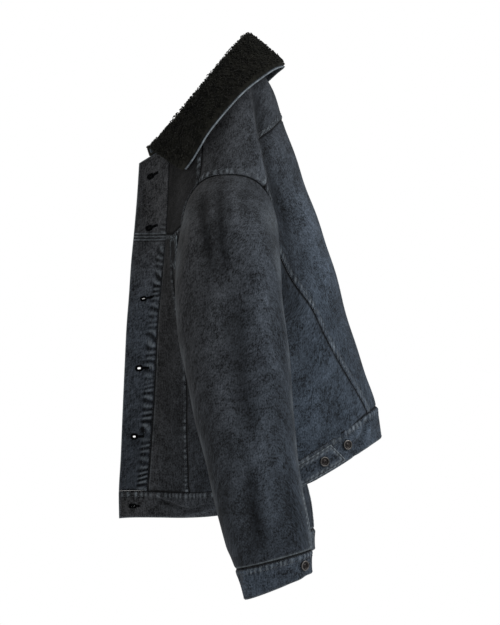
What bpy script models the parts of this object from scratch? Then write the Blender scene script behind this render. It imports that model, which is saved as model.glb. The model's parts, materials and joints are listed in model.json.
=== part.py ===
"""A sherpa lined denim trucker jacket, hanging open from the loop at its nape, hollow, with no wearer.

Frame: metres, +Z up, the front of the jacket faces -Y and its left side is +X. The origin is the point
at the centre back of the neck seam where the hanging loop is sewn.

The body is a family of half rings. Each runs from a front edge round the side to the centre back, and one
row of RINGS gives its two ends, its droop and its width. A point on the cloth is named by turn, 0 at the
front edge and 1 at the centre back, and fall, 0 at the neck seam and 1 at the top of the waistband. Seams
are curves in turn and fall, sampled once, and both pieces that meet at a seam take the same samples.
"""

import math

import bpy
import numpy as np

# Driving dimensions.
DENIM_WALL = 0.0024
BAND_WALL = 0.0036
PILE_WALL = 0.0070
UNDER_COLLAR_WALL = 0.0018
TRIM_WALL = 0.0022
BAND_PROUD = 0.0008
SEAM_GAP = 0.0003
HEM_FALL = 1.085
SETBACK_AT_HEM = 0.042
SIDES = {"left": 1, "right": -1}

RING_COLUMNS = (
    "fall", "front_y", "front_z", "back_y", "back_z", "droop", "front_x", "half_width",
    "flange", "turned", "shoulder", "shoulder_at", "reach_front", "reach_back",
)
RINGS = (
    (0.000, -0.1770, -0.1710, 0.0000, 0.0000, 0.023, 0.028, 0.066, 0.00, 0.55, 0.000, 0.60, 0.30, 0.22),
    (0.100, -0.1805, -0.2225, 0.0310, -0.0500, 0.026, 0.024, 0.092, 0.04, 0.50, 0.030, 0.60, 0.29, 0.21),
    (0.200, -0.1850, -0.2740, 0.0505, -0.1060, 0.029, 0.021, 0.112, 0.09, 0.47, 0.054, 0.60, 0.28, 0.20),
    (0.300, -0.1900, -0.3255, 0.0705, -0.1630, 0.032, 0.019, 0.125, 0.11, 0.46, 0.042, 0.58, 0.27, 0.20),
    (0.400, -0.1935, -0.3770, 0.0877, -0.2190, 0.035, 0.018, 0.132, 0.11, 0.47, 0.022, 0.54, 0.26, 0.20),
    (0.500, -0.1975, -0.4285, 0.1080, -0.2760, 0.038, 0.018, 0.136, 0.10, 0.48, 0.007, 0.52, 0.25, 0.20),
    (0.600, -0.2000, -0.4800, 0.1280, -0.3320, 0.041, 0.018, 0.136, 0.09, 0.50, 0.000, 0.50, 0.25, 0.20),
    (0.800, -0.2045, -0.5830, 0.1605, -0.4430, 0.046, 0.018, 0.128, 0.06, 0.52, 0.000, 0.50, 0.25, 0.20),
    (0.900, -0.2066, -0.6345, 0.1785, -0.4980, 0.048, 0.018, 0.121, 0.04, 0.53, 0.000, 0.50, 0.25, 0.20),
    (1.000, -0.2095, -0.6860, 0.1960, -0.5530, 0.048, 0.018, 0.112, 0.02, 0.53, 0.000, 0.50, 0.25, 0.20),
    (1.085, -0.2090, -0.7290, 0.2050, -0.6025, 0.041, 0.018, 0.110, 0.02, 0.53, 0.000, 0.50, 0.25, 0.20),
)
SIDE_AT = 0.55
DROOP_POWER = 1.15

# Placket width along the jacket, and seams as points of the side plane, (y, z).
PLACKET_WIDTH = ((0.0, 0.050), (0.3, 0.052), (1.0, 0.046))
FRONT_YOKE_Z = -0.283
FRONT_V_SEAM = ((-0.1228, -0.283), (-0.1225, -0.350), (-0.1036, -0.485), (-0.1020, -0.603), (-0.0970, -0.690))
BACK_V_SEAM = ((0.0395, -0.309), (0.0664, -0.361), (0.0911, -0.398), (0.1125, -0.440), (0.1310, -0.475),
               (0.1619, -0.526), (0.1800, -0.5620))
BACK_YOKE_SEAM = ((0.0485, -0.100), (0.0300, -0.121), (0.0110, -0.140), (0.0160, -0.168), (0.0225, -0.205))
FORWARD_SEAM_Y = -0.081
SIDE_SEAM_Y = -0.020

# Armhole, as a rounded loop of the side plane. Angles are from the back, and 90 is the top of the shoulder.
ARMHOLE_CENTRE = (-0.034, -0.318)
ARMHOLE_HALF = (0.075, 0.122)
ARMHOLE_POWER = 2.8
UNDERARM = (ARMHOLE_CENTRE[0], ARMHOLE_CENTRE[1] - ARMHOLE_HALF[1])

# Sleeve: a row for each ring down the arm. rise tips the ring up at its outer side, lean at its back.
SLEEVE_COLUMNS = ("along", "y", "z", "x", "half_depth", "half_width", "rise", "lean")
SLEEVE = (
    (0.24, -0.0335, -0.400, 0.192, 0.0800, 0.053, 0.086, 0.02),
    (0.34, -0.0270, -0.447, 0.195, 0.0805, 0.054, 0.066, 0.05),
    (0.46, -0.0180, -0.513, 0.196, 0.0775, 0.054, 0.044, 0.08),
    (0.60, -0.0075, -0.585, 0.194, 0.0730, 0.052, 0.026, 0.12),
    (0.76, 0.0055, -0.665, 0.190, 0.0655, 0.048, 0.012, 0.16),
    (0.90, 0.0215, -0.735, 0.186, 0.0630, 0.044, 0.005, 0.21),
    (1.00, 0.0320, -0.776, 0.184, 0.0575, 0.041, 0.000, 0.26),
)
CUFF_RINGS = (
    (1.00, 0.0330, -0.7765, 0.184, 0.0560, 0.0425, 0.000, 0.26),
    (1.07, 0.0400, -0.8170, 0.183, 0.0500, 0.0400, 0.000, 0.40),
)
SLEEVE_ROUND = 2.15
RIGHT_SLEEVE_SWING = 0.0130

# Collar: q runs from the centre back, 0, to the front end, 1. The edge is where the fall ends.
COLLAR_COLUMNS = ("q", "stand", "edge_x", "edge_y", "edge_z", "pile")
COLLAR = (
    (0.000, 0.030, 0.0000, 0.0500, -0.0150, 1.00),
    (0.125, 0.030, 0.0440, 0.0380, -0.0215, 1.00),
    (0.250, 0.029, 0.0760, 0.0190, -0.0360, 1.00),
    (0.375, 0.028, 0.1015, -0.0140, -0.0640, 1.00),
    (0.500, 0.026, 0.1140, -0.0460, -0.1000, 1.00),
    (0.625, 0.024, 0.1200, -0.0690, -0.1300, 1.00),
    (0.750, 0.021, 0.1210, -0.0820, -0.1520, 0.95),
    (0.875, 0.017, 0.1180, -0.0930, -0.1700, 0.85),
    (1.000, 0.013, 0.1080, -0.1060, -0.1870, 0.70),
)
COLLAR_FRONT_SHARE = 0.093

BUTTON_RADIUS = 0.0085
BUTTON_HEIGHT = 0.0035
BUTTON_FALLS = (0.030, 0.200, 0.375, 0.560, 0.745, 1.040)
BUTTON_TURN = 0.052

# How far a button stands off the cloth surface under it, which clears the facets.
FRONT_BUTTON_LIFT = 0.0030
BAND_BUTTON_LIFT = 0.0028
TAB_BUTTON_LIFT = 0.0060
SPARE_BUTTON_LIFT = 0.0026
CUFF_BUTTON_LIFT = 0.0016


def column(table, columns, name):
    return np.array([row[columns.index(name)] for row in table])


def smooth(xs, ys, x):
    """A cubic curve through a table's rows."""
    xs = np.asarray(xs, float)
    ys = np.asarray(ys, float)
    x = np.clip(x, xs[0], xs[-1])
    k = np.clip(np.searchsorted(xs, x, side="right") - 1, 0, len(xs) - 2)
    slopes = np.gradient(ys, xs)
    step = xs[k + 1] - xs[k]
    s = (x - xs[k]) / step
    start = (2 * s**3 - 3 * s**2 + 1) * ys[k] + (s**3 - 2 * s**2 + s) * slopes[k] * step
    end = (-2 * s**3 + 3 * s**2) * ys[k + 1] + (s**3 - s**2) * slopes[k + 1] * step
    return start + end


def ring(name, fall):
    return smooth(column(RINGS, RING_COLUMNS, "fall"), column(RINGS, RING_COLUMNS, name), fall)


def ease(x):
    x = np.clip(x, 0, 1)
    return x * x * (3 - 2 * x)


def front_y(fall, side):
    setback = SETBACK_AT_HEM * ease(fall / 0.45) if side < 0 else 0
    return ring("front_y", fall) + setback


def body(turn, fall, side=1):
    """Points of the body's outer surface."""
    turn, fall = np.broadcast_arrays(np.asarray(turn, float), np.asarray(fall, float))
    behind = np.clip(2 * turn - 1, 0, 1) * math.pi / 2
    share = np.where(turn < 0.5, SIDE_AT * 2 * turn, SIDE_AT + (1 - SIDE_AT) * np.sin(behind))
    width = ring("half_width", fall)
    edge_x = ring("front_x", fall)
    flange = ring("flange", fall)
    out = ease((share - flange) / (ring("turned", fall) - flange))
    x = np.where(turn < 0.5, edge_x + (width - edge_x) * out, width * np.cos(behind))
    off = share - ring("shoulder_at", fall)
    reach = np.where(off < 0, ring("reach_front", fall), ring("reach_back", fall))
    x = x + ring("shoulder", fall) * np.exp(-np.abs(off / reach) ** 3) * np.clip((1 - share) / 0.08, 0, 1)
    start = front_y(fall, side)
    y = start + (ring("back_y", fall) - start) * share
    droop = ring("droop", fall) * np.sin(math.pi * share) ** DROOP_POWER
    z = ring("front_z", fall) * (1 - share) + ring("back_z", fall) * share - droop
    return np.stack([side * x, y, z], -1)


def outward(turn, fall, side=1):
    """Unit normals of the body surface, away from the hollow."""
    step = 1e-3
    across = body(np.clip(turn + step, 0, 1), fall, side) - body(np.clip(turn - step, 0, 1), fall, side)
    down = body(turn, fall + step, side) - body(turn, fall - step, side)
    normal = np.cross(down, across) * side
    normal /= np.linalg.norm(normal, axis=-1, keepdims=True)
    flat = np.asarray(turn) >= 1 - step
    normal[..., 0] = np.where(flat, 0, normal[..., 0])
    return normal / np.linalg.norm(normal, axis=-1, keepdims=True)


def turn_of(share):
    share = np.clip(share, 0, 1)
    back = 0.5 + np.arcsin(np.clip((share - SIDE_AT) / (1 - SIDE_AT), 0, 1)) / math.pi
    return np.where(share < SIDE_AT, share / SIDE_AT / 2, back)


def on_side(y, z):
    """(turn, fall) of the left half's point at a place of the side plane."""
    low, high = 0.0, HEM_FALL
    for _ in range(40):
        fall = (low + high) / 2
        start = float(ring("front_y", fall))
        share = min(max((y - start) / (float(ring("back_y", fall)) - start), 0), 1)
        height = float(ring("front_z", fall)) * (1 - share) + float(ring("back_z", fall)) * share
        height -= float(ring("droop", fall)) * math.sin(math.pi * share) ** DROOP_POWER
        if height > z:
            low = fall
        else:
            high = fall
    return float(turn_of(share)), fall


def resampled(points, count):
    """count + 1 points evenly along a polyline."""
    points = np.asarray(points, float)
    lengths = np.r_[0, np.cumsum(np.linalg.norm(np.diff(points, axis=0), axis=1))]
    at = np.linspace(0, lengths[-1], count + 1)
    return np.stack([np.interp(at, lengths, points[:, k]) for k in range(points.shape[1])], 1)


def side_curve(places, count):
    """A seam through places of the side plane, as count + 1 samples in turn and fall."""
    places = np.asarray(places, float)
    knots = np.r_[0, np.cumsum(np.linalg.norm(np.diff(places, axis=0), axis=1))]
    fine = np.linspace(0, knots[-1], 60)
    route = np.stack([smooth(knots, places[:, 0], fine), smooth(knots, places[:, 1], fine)], 1)
    return np.array([on_side(y, z) for y, z in resampled(route, count)])


def join(*curves):
    return np.concatenate([curves[0]] + [curve[1:] for curve in curves[1:]])


def armhole_place(angle):
    a = math.radians(angle)
    c, s = math.cos(a), math.sin(a)
    y = ARMHOLE_CENTRE[0] + ARMHOLE_HALF[0] * math.copysign(abs(c) ** (2 / ARMHOLE_POWER), c)
    z = ARMHOLE_CENTRE[1] + ARMHOLE_HALF[1] * math.copysign(abs(s) ** (2 / ARMHOLE_POWER), s)
    return y, z


def armhole_angles(start, end, count):
    """Angles from start to end that are evenly spaced along the loop."""
    fine = np.linspace(start, end, 80)
    places = np.array([armhole_place(angle) for angle in fine])
    lengths = np.r_[0, np.cumsum(np.linalg.norm(np.diff(places, axis=0), axis=1))]
    return np.interp(np.linspace(0, lengths[-1], count + 1), lengths, fine)


def coons(left, right, top, bottom):
    """A grid of (turn, fall) inside four sampled edges. Rows run down, columns from left to right."""
    t = np.linspace(0, 1, len(left))[:, None, None]
    s = np.linspace(0, 1, len(top))[None, :, None]
    across = (1 - s) * left[:, None] + s * right[:, None]
    down = (1 - t) * top[None] + t * bottom[None]
    corners = (1 - t) * ((1 - s) * top[0] + s * top[-1]) + t * ((1 - s) * bottom[0] + s * bottom[-1])
    return across + down - corners


def straight(start, end, count):
    return np.linspace(start, end, count + 1)


# Seam samples, for the left half. The right half takes the same ones.
ROWS_FORWARD, ROWS_CHEST, ROWS_ARM, ROWS_SIDE, ROWS_SHOULDER = 4, 3, 6, 6, 3
COLS_PLACKET, COLS_FRONT, COLS_SIDE_FRONT, COLS_SIDE_BACK, COLS_BACK, COLS_CAP = 2, 3, 5, 3, 6, 6
ROWS_UPPER = ROWS_FORWARD + ROWS_CHEST
ROWS_LOWER = ROWS_ARM + ROWS_SIDE

FORWARD_ANGLE = 180 - math.degrees(
    math.acos(((ARMHOLE_CENTRE[0] - FORWARD_SEAM_Y) / ARMHOLE_HALF[0]) ** (ARMHOLE_POWER / 2))
)
CHEST_ANGLE = 164.0
UNDERARM_ANGLE = 270.0
SIDE_BACK_ANGLE = 352.0
V_ANGLE = 364.0
YOKE_ANGLE = 412.0
ARM_SPANS = {
    "cap": armhole_angles(YOKE_ANGLE - 360, FORWARD_ANGLE, COLS_CAP)[::-1],
    "chest": armhole_angles(FORWARD_ANGLE, CHEST_ANGLE, ROWS_CHEST),
    "front": armhole_angles(CHEST_ANGLE, UNDERARM_ANGLE, ROWS_ARM),
    "back": armhole_angles(UNDERARM_ANGLE, SIDE_BACK_ANGLE, ROWS_ARM),
    "tip": armhole_angles(SIDE_BACK_ANGLE, V_ANGLE, COLS_SIDE_BACK),
    "shoulder": armhole_angles(V_ANGLE, YOKE_ANGLE, ROWS_SHOULDER),
}
ARM = {name: np.array([on_side(*armhole_place(a)) for a in angles]) for name, angles in ARM_SPANS.items()}


def placket_seam(start, end, count):
    falls = np.linspace(start, end, count + 1)
    widths = np.interp(falls, [row[0] for row in PLACKET_WIDTH], [row[1] for row in PLACKET_WIDTH])
    depth = ring("back_y", falls) - ring("front_y", falls)
    return np.stack([turn_of(widths / depth), falls], 1)


YOKE_FALL = on_side(-0.138, FRONT_YOKE_Z)[1]
NECK_FORWARD = (float(turn_of((FORWARD_SEAM_Y - RINGS[0][1]) / (RINGS[0][3] - RINGS[0][1]))), 0.0)
SEAM = {
    "placket_upper": placket_seam(0, YOKE_FALL, ROWS_UPPER),
    "placket_lower": placket_seam(YOKE_FALL, 1, ROWS_LOWER),
    "forward": straight(NECK_FORWARD, ARM["chest"][0], ROWS_FORWARD),
    "front_v": side_curve(FRONT_V_SEAM, ROWS_LOWER),
    "back_v": side_curve(BACK_V_SEAM, ROWS_LOWER),
    "back_yoke": side_curve(BACK_YOKE_SEAM, COLS_BACK),
    "side": side_curve((UNDERARM, (SIDE_SEAM_Y, -0.700)), ROWS_SIDE),
}
SEAM["front_v"][-1, 1] = 1.0
SEAM["back_v"][0] = ARM["tip"][-1]
SEAM["back_v"][-1, 1] = 1.0
SEAM["back_yoke"][0, 0] = 1.0
SEAM["back_yoke"][-1] = ARM["shoulder"][-1]
SEAM["side"][0] = ARM["front"][-1]
SEAM["side"][-1, 1] = 1.0
CENTRE_YOKE_FALL = SEAM["back_yoke"][0, 1]
SEAM["yoke_front"] = straight(SEAM["placket_lower"][0], SEAM["front_v"][0], COLS_FRONT)
SEAM["yoke_side"] = straight(SEAM["front_v"][0], ARM["front"][0], COLS_SIDE_FRONT)
HEM = {
    "placket": straight((0, 1), SEAM["placket_lower"][-1], COLS_PLACKET),
    "front": straight(SEAM["placket_lower"][-1], SEAM["front_v"][-1], COLS_FRONT),
    "side_front": straight(SEAM["front_v"][-1], SEAM["side"][-1], COLS_SIDE_FRONT),
    "side_back": straight(SEAM["side"][-1], SEAM["back_v"][-1], COLS_SIDE_BACK),
    "back": straight(SEAM["back_v"][-1], (1, 1), COLS_BACK),
}


def placket_cut():
    rows = ROWS_UPPER + ROWS_LOWER
    seam = join(SEAM["placket_upper"], SEAM["placket_lower"])
    edge = np.stack([np.zeros(rows + 1), seam[:, 1]], 1)
    return coons(edge, seam, straight((0, 0), seam[0], COLS_PLACKET), HEM["placket"])


def upper_front_cut():
    outer = join(SEAM["forward"], ARM["chest"])
    bottom = join(SEAM["yoke_front"], SEAM["yoke_side"])
    neck = straight(SEAM["placket_upper"][0], NECK_FORWARD, COLS_FRONT + COLS_SIDE_FRONT)
    return coons(SEAM["placket_upper"], outer, neck, bottom)


def centre_front_cut():
    return coons(SEAM["placket_lower"], SEAM["front_v"], SEAM["yoke_front"], HEM["front"])


def side_front_cut():
    outer = join(ARM["front"], SEAM["side"])
    return coons(SEAM["front_v"], outer, SEAM["yoke_side"], HEM["side_front"])


def side_back_cut():
    side = join(ARM["back"][::-1], SEAM["side"])
    return coons(side, SEAM["back_v"], ARM["tip"], HEM["side_back"])


def back_cut():
    outer = join(ARM["shoulder"][::-1], SEAM["back_v"])
    centre = straight((1, CENTRE_YOKE_FALL), (1, 1), ROWS_SHOULDER + ROWS_LOWER)
    return coons(outer, centre, SEAM["back_yoke"][::-1], HEM["back"])


def yoke_cut():
    bottom = join(ARM["cap"], SEAM["back_yoke"][::-1])
    neck = straight(NECK_FORWARD, (1, 0), COLS_CAP + COLS_BACK)
    centre = straight((1, 0), (1, CENTRE_YOKE_FALL), ROWS_FORWARD)
    return coons(SEAM["forward"], centre, neck, bottom)


def clear_scene():
    for item in list(bpy.data.objects):
        bpy.data.objects.remove(item, do_unlink=True)


def principled(name, colour, roughness, metallic=0.0):
    material = bpy.data.materials.new(name)
    material.use_nodes = True
    shader = material.node_tree.nodes["Principled BSDF"]
    shader.inputs["Base Color"].default_value = (*colour, 1)
    shader.inputs["Roughness"].default_value = roughness
    shader.inputs["Metallic"].default_value = metallic
    material.diffuse_color = (*colour, 1)
    return material


def add_piece(name, points, faces, material):
    mesh = bpy.data.meshes.new(name)
    mesh.from_pydata([tuple(p) for p in points], [], faces)
    mesh.materials.append(material)
    mesh.shade_smooth()
    mesh.set_sharp_from_angle(angle=math.radians(40))
    piece = bpy.data.objects.new(name, mesh)
    bpy.context.scene.collection.objects.link(piece)
    return piece


def faced_out(points, faces):
    """The faces, all turned round if they enclose a negative volume."""
    faces = [tuple(int(k) for k in face) for face in faces]
    volume = 0.0
    for face in faces:
        p = points[list(face)]
        for k in range(1, len(face) - 1):
            volume += np.dot(p[0], np.cross(p[k], p[k + 1]))
    return [face[::-1] for face in faces] if volume < 0 else faces


def pulled_in(points, gap):
    """The grid with its border moved towards its inside, by half a seam's gap."""
    moved = points.copy()
    for edge, inner in ((np.s_[0], np.s_[1]), (np.s_[-1], np.s_[-2])):
        for axis in (0, 1):
            rows = np.swapaxes(moved, 0, 1) if axis else moved
            towards = rows[inner] - rows[edge]
            rows[edge] += towards / np.linalg.norm(towards, axis=-1, keepdims=True) * gap
    return moved


def wall(name, outer, inner, material):
    """A closed wall between two grids of points, with its rim."""
    rows, columns = outer.shape[:2]
    count = rows * columns
    points = np.concatenate([outer.reshape(-1, 3), inner.reshape(-1, 3)])
    index = np.arange(count).reshape(rows, columns)
    rim = list(index[0, :]) + list(index[1:, -1]) + list(index[-1, -2::-1]) + list(index[-2:0:-1, 0])
    faces = [(a, a + count, b + count, b) for a, b in zip(rim, rim[1:] + rim[:1])]
    for i in range(rows - 1):
        for j in range(columns - 1):
            a, b, c, d = index[i, j], index[i, j + 1], index[i + 1, j + 1], index[i + 1, j]
            faces.extend([(a, b, c), (a, c, d)])
            faces.extend([(c + count, b + count, a + count), (d + count, c + count, a + count)])
    return add_piece(name, points, faced_out(points, faces), material)


def body_wall(name, cut, side, material, low=0.0, thickness=DENIM_WALL, gap=SEAM_GAP / 2):
    """A piece of the body: its outer face stands low above the surface."""
    surface = pulled_in(body(cut[..., 0], cut[..., 1], side), gap)
    normal = outward(cut[..., 0], cut[..., 1], side)
    return wall(name, surface + normal * low, surface + normal * (low - thickness), material)


def double_wall(name, cut, material, low=0.0, thickness=DENIM_WALL):
    """A piece that crosses the centre back, from the cut of its left half."""
    grids = []
    for distance in (low, low - thickness):
        halves = []
        for side in (1, -1):
            normal = outward(cut[..., 0], cut[..., 1], side)
            halves.append(body(cut[..., 0], cut[..., 1], side) + normal * distance)
        grids.append(np.concatenate([halves[0], halves[1][:, -2::-1]], axis=1))
    rims = pulled_in(grids[0], SEAM_GAP / 2)
    return wall(name, rims, grids[1] + rims - grids[0], material)


def rounded(angle, power):
    """Cosine and sine on a loop that is squarer than a circle where power is over 2."""
    c, s = np.cos(angle), np.sin(angle)
    return np.sign(c) * np.abs(c) ** (2 / power), np.sign(s) * np.abs(s) ** (2 / power)


def tube_ring(row, angles, side, inset=0.0):
    """One ring of a sleeve or cuff."""
    y, z, x, half_depth, half_width, rise, lean = row
    c, s = rounded(angles, SLEEVE_ROUND)
    points = np.stack([x + (half_width - inset) * s, y + (half_depth - inset) * c, z + rise * s], -1)
    points[:, 2] += lean * (points[:, 1] - y)
    points[:, 1] += swing_at(points[:, 2], side)
    points[:, 0] *= side
    return points


def swing_at(z, side):
    """How far back the right sleeve hangs behind the left one at a height."""
    return RIGHT_SLEEVE_SWING * ease((-0.40 - z) / 0.30) if side < 0 else 0 * z


def sleeve_row(along, table):
    stations = [row[0] for row in table]
    return [float(smooth(stations, [row[k] for row in table], along)) for k in range(1, 8)]


ARM_LOOP = join(ARM_SPANS["cap"][::-1], *[ARM_SPANS[k] for k in ("chest", "front", "back", "tip", "shoulder")])
SLEEVE_STATIONS = (1.0, 0.88, 0.75, 0.60, 0.46, 0.34, 0.24, 0.18, 0.115, 0.055, 0.0)
CAP_END = SLEEVE[0][0]


def sleeve_rings(side, inset):
    """Rings from the cuff up to the armhole, each with a point for every angle of the armhole."""
    angles = np.radians(ARM_LOOP)
    uv = np.array([on_side(*armhole_place(a)) for a in ARM_LOOP])
    start = body(uv[:, 0], uv[:, 1], side)
    up = np.sin(angles)
    leave = np.stack([side * (0.60 + 0.22 * up), 0.16 * np.cos(angles), 0.18 * up - 0.74], -1)
    loop = np.concatenate([start[-2:-1], start, start[1:2]])
    normal = np.cross(loop[2:] - loop[:-2], leave) * side
    normal /= np.linalg.norm(normal, axis=-1, keepdims=True)
    first = tube_ring(SLEEVE[0][1:], angles, side, inset)
    second = tube_ring(sleeve_row(CAP_END + 0.02, SLEEVE), angles, side, inset)
    down = (second - first) / np.linalg.norm(second - first, axis=-1, keepdims=True)
    reach = np.linalg.norm(first - start, axis=-1, keepdims=True)
    begin = start - normal * inset + leave * SEAM_GAP
    rings = []
    for along in SLEEVE_STATIONS:
        if along >= CAP_END:
            rings.append(tube_ring(sleeve_row(along, SLEEVE), angles, side, inset))
            continue
        s = along / CAP_END
        point = (2 * s**3 - 3 * s**2 + 1) * begin + (s**3 - 2 * s**2 + s) * leave * reach
        rings.append(point + (-2 * s**3 + 3 * s**2) * first + (s**3 - s**2) * down * reach)
    return np.array(rings)


SLEEVE_SPLITS = (COLS_CAP + ROWS_CHEST + 2, COLS_CAP + ROWS_CHEST + 2 * ROWS_ARM)


def sleeve_walls(label, side, material):
    outer = sleeve_rings(side, 0.0)
    inner = sleeve_rings(side, DENIM_WALL)
    front, back = SLEEVE_SPLITS
    under = np.s_[:, front:back + 1]
    for name, pick in (("under_sleeve", under), ("top_sleeve", None)):
        grids = []
        for grid in (outer, inner):
            part = grid[under] if pick else np.concatenate([grid[:, back:-1], grid[:, :front + 1]], axis=1)
            grids.append(part)
        rim = pulled_in(grids[0], SEAM_GAP)
        wall(f"{name}_{label}", rim, grids[1] + rim - grids[0], material)


# The cuff is open along a slit. Its button is beside the slit, halfway down.
CUFF_SLIT = 342.0
CUFF_SLIT_WIDTH = 0.8
CUFF_COLUMNS = 28
CUFF_ROWS = (1.0, 1.035, 1.07)
CUFF_CLEARANCE = 0.02
CUFF_BUTTON_ANGLE = 42.0


def cuff_point(angle, along, side, inset):
    return tube_ring(sleeve_row(along, CUFF_RINGS), np.radians(np.atleast_1d(angle)), side, inset)


def cuff_wall(label, side, material):
    angles = np.linspace(CUFF_SLIT - 360 + CUFF_SLIT_WIDTH, CUFF_SLIT, CUFF_COLUMNS + 1)
    grids = []
    for inset in (-BAND_PROUD, BAND_WALL - BAND_PROUD):
        rings = np.array([cuff_point(angles, along, side, inset) for along in CUFF_ROWS])
        rings[0] += (rings[1] - rings[0]) * CUFF_CLEARANCE
        grids.append(rings)
    wall(f"cuff_{label}", grids[0], grids[1], material)


def cuff_button(label, side, material):
    """The button lies on the cuff's own facets, so its normal is the facet's."""
    step = 360 / CUFF_COLUMNS
    low, middle = CUFF_ROWS[0], CUFF_ROWS[1]
    centre = cuff_point(CUFF_BUTTON_ANGLE, middle, side, -BAND_PROUD)[0]
    across = cuff_point(CUFF_BUTTON_ANGLE + step, middle, side, 0)[0]
    across -= cuff_point(CUFF_BUTTON_ANGLE - step, middle, side, 0)[0]
    down = centre - cuff_point(CUFF_BUTTON_ANGLE, low, side, -BAND_PROUD)[0]
    normal = np.cross(down, across) * side
    normal /= np.linalg.norm(normal)
    if normal[0] * side < 0:
        normal = -normal
    button(f"cuff_button_{label}", centre + normal * CUFF_BUTTON_LIFT, normal, material)


def neck_point(q, side):
    front = float(turn_of(COLLAR_FRONT_SHARE))
    return body(1 - q * (1 - front), 0.0, side)


def collar_row(q):
    """The collar table at q, which mirrors itself at the centre back."""
    qs = column(COLLAR, COLLAR_COLUMNS, "q")
    found = {}
    for name in COLLAR_COLUMNS[1:]:
        values = column(COLLAR, COLLAR_COLUMNS, name)
        mirrored = -values[:0:-1] if name == "edge_x" else values[:0:-1]
        found[name] = float(smooth(np.r_[-qs[:0:-1], qs], np.r_[mirrored, values], q))
    return found


def collar_section(q, side, steps):
    """Points from the neck seam, up the stand, over the roll and down the fall to its edge.

    steps count along the eight control points, so that the same step lies on the same part at every q.
    """
    get = collar_row(q)
    neck = neck_point(q, side)
    lean = math.sin(math.pi * q) ** 2
    inward = 0.20 * math.sin(math.pi / 2 * min(q / 0.4, 1))
    up = np.array([-side * inward, -0.25 - 0.45 * lean, 1 - 0.28 * lean]) * get["stand"]
    fold = neck + up
    edge = np.array([side * get["edge_x"], get["edge_y"], get["edge_z"]])
    fall = edge - fold
    controls = np.array([
        neck + up * 0.05,
        neck + up * 0.40 - fall * 0.01,
        neck + up * 0.78 - fall * 0.01,
        fold + up * 0.10 + fall * 0.05,
        fold + up * 0.12 + fall * 0.16,
        fold + up * 0.12 + fall * 0.38,
        fold + up * 0.07 + fall * 0.68,
        edge,
    ])
    knots = np.r_[0, np.cumsum(np.linalg.norm(np.diff(controls, axis=0), axis=1))]
    at = np.interp(steps, range(len(knots)), knots)
    return np.stack([smooth(knots, controls[:, k], at) for k in range(3)], 1)


COLLAR_HALF = 12
COLLAR_STEPS = np.array((0.0, 1.0, 1.9, 2.45, 2.9, 3.35, 3.9, 4.6, 5.4, 6.2, 7.0))
COLLAR_PROBE = 0.02


def collar_grids():
    """Points, outward unit normals and pile shares of the collar, rows from the neck seam to the edge."""
    columns = [(q, 1) for q in np.linspace(1, 0, COLLAR_HALF + 1)]
    columns += [(q, -1) for q in np.linspace(0, 1, COLLAR_HALF + 1)[1:]]
    points, normals, piles = [], [], []
    for q, side in columns:
        here = collar_section(q, side, COLLAR_STEPS)
        ahead = collar_section(min(q + COLLAR_PROBE, 1), side, COLLAR_STEPS)
        back = q - COLLAR_PROBE
        behind = collar_section(abs(back), side if back > 0 else -side, COLLAR_STEPS)
        further = collar_section(q, side, np.minimum(COLLAR_STEPS + 0.1, 7))
        nearer = collar_section(q, side, np.maximum(COLLAR_STEPS - 0.1, 0))
        normal = np.cross(further - nearer, (ahead - behind) * side)
        points.append(here)
        normals.append(normal / np.linalg.norm(normal, axis=1, keepdims=True))
        piles.append(collar_row(q)["pile"] * np.interp(COLLAR_STEPS, (0, 2, 6.5, 7), (0.4, 1, 1, 0.8)))
    return [np.swapaxes(np.array(rows), 0, 1) for rows in (points, normals, piles)]


def collar_walls(pile, denim):
    grid, normal, share = collar_grids()
    if normal[-3, COLLAR_HALF, 2] < 0:
        normal = -normal
    wall("collar", grid + normal * PILE_WALL * share[..., None], grid, pile)
    low = (grid - normal * SEAM_GAP)[1:, 1:-1]
    wall("under_collar", low, low - normal[1:, 1:-1] * UNDER_COLLAR_WALL, denim)


def strip_on(name, side, places, low, thickness, material):
    """A small piece on the body: a grid of (turn, fall) moved out from the panel under it."""
    surface = body(places[..., 0], places[..., 1], side)
    normal = outward(places[..., 0], places[..., 1], side)
    return wall(name, surface + normal * (low + thickness), surface + normal * low, material)


def hem_turns():
    return join(HEM["placket"], HEM["front"], HEM["side_front"], HEM["side_back"], HEM["back"])[:, 0]


def waistband(material):
    falls = np.linspace(1.0, HEM_FALL, 4)
    cut = np.stack(np.meshgrid(hem_turns(), falls), -1)
    double_wall("waistband", cut, material, low=BAND_PROUD, thickness=BAND_WALL)


BUTTON_PROFILE = ((0.7, 0.0), (1.0, 0.5), (0.88, 1.0), (0.62, 0.7))
BUTTON_DISH = 0.66
BUTTON_SIDES = 14


def button(name, centre, normal, material):
    """A sewn metal button with a raised rim and a dished face, standing off the cloth along its normal."""
    normal = np.asarray(normal, float) / np.linalg.norm(normal)
    side_on = np.cross(normal, (0, 0, 1))
    side_on /= np.linalg.norm(side_on)
    upright = np.cross(side_on, normal)
    points = []
    for reach, height in BUTTON_PROFILE:
        for angle in np.arange(BUTTON_SIDES) * 2 * math.pi / BUTTON_SIDES:
            flat = side_on * math.cos(angle) + upright * math.sin(angle)
            points.append(centre + flat * reach * BUTTON_RADIUS + normal * height * BUTTON_HEIGHT)
    base, top = len(points), len(points) + 1
    points.extend([centre, centre + normal * BUTTON_DISH * BUTTON_HEIGHT])
    last = base - BUTTON_SIDES
    faces = []
    for k in range(BUTTON_SIDES):
        n = (k + 1) % BUTTON_SIDES
        for ring_start in range(0, last, BUTTON_SIDES):
            above = ring_start + BUTTON_SIDES
            faces.append((ring_start + k, above + k, above + n, ring_start + n))
        faces.extend([(base, k, n), (top, last + n, last + k)])
    return add_piece(name, points, faced_out(np.array(points), faces), material)


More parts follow.
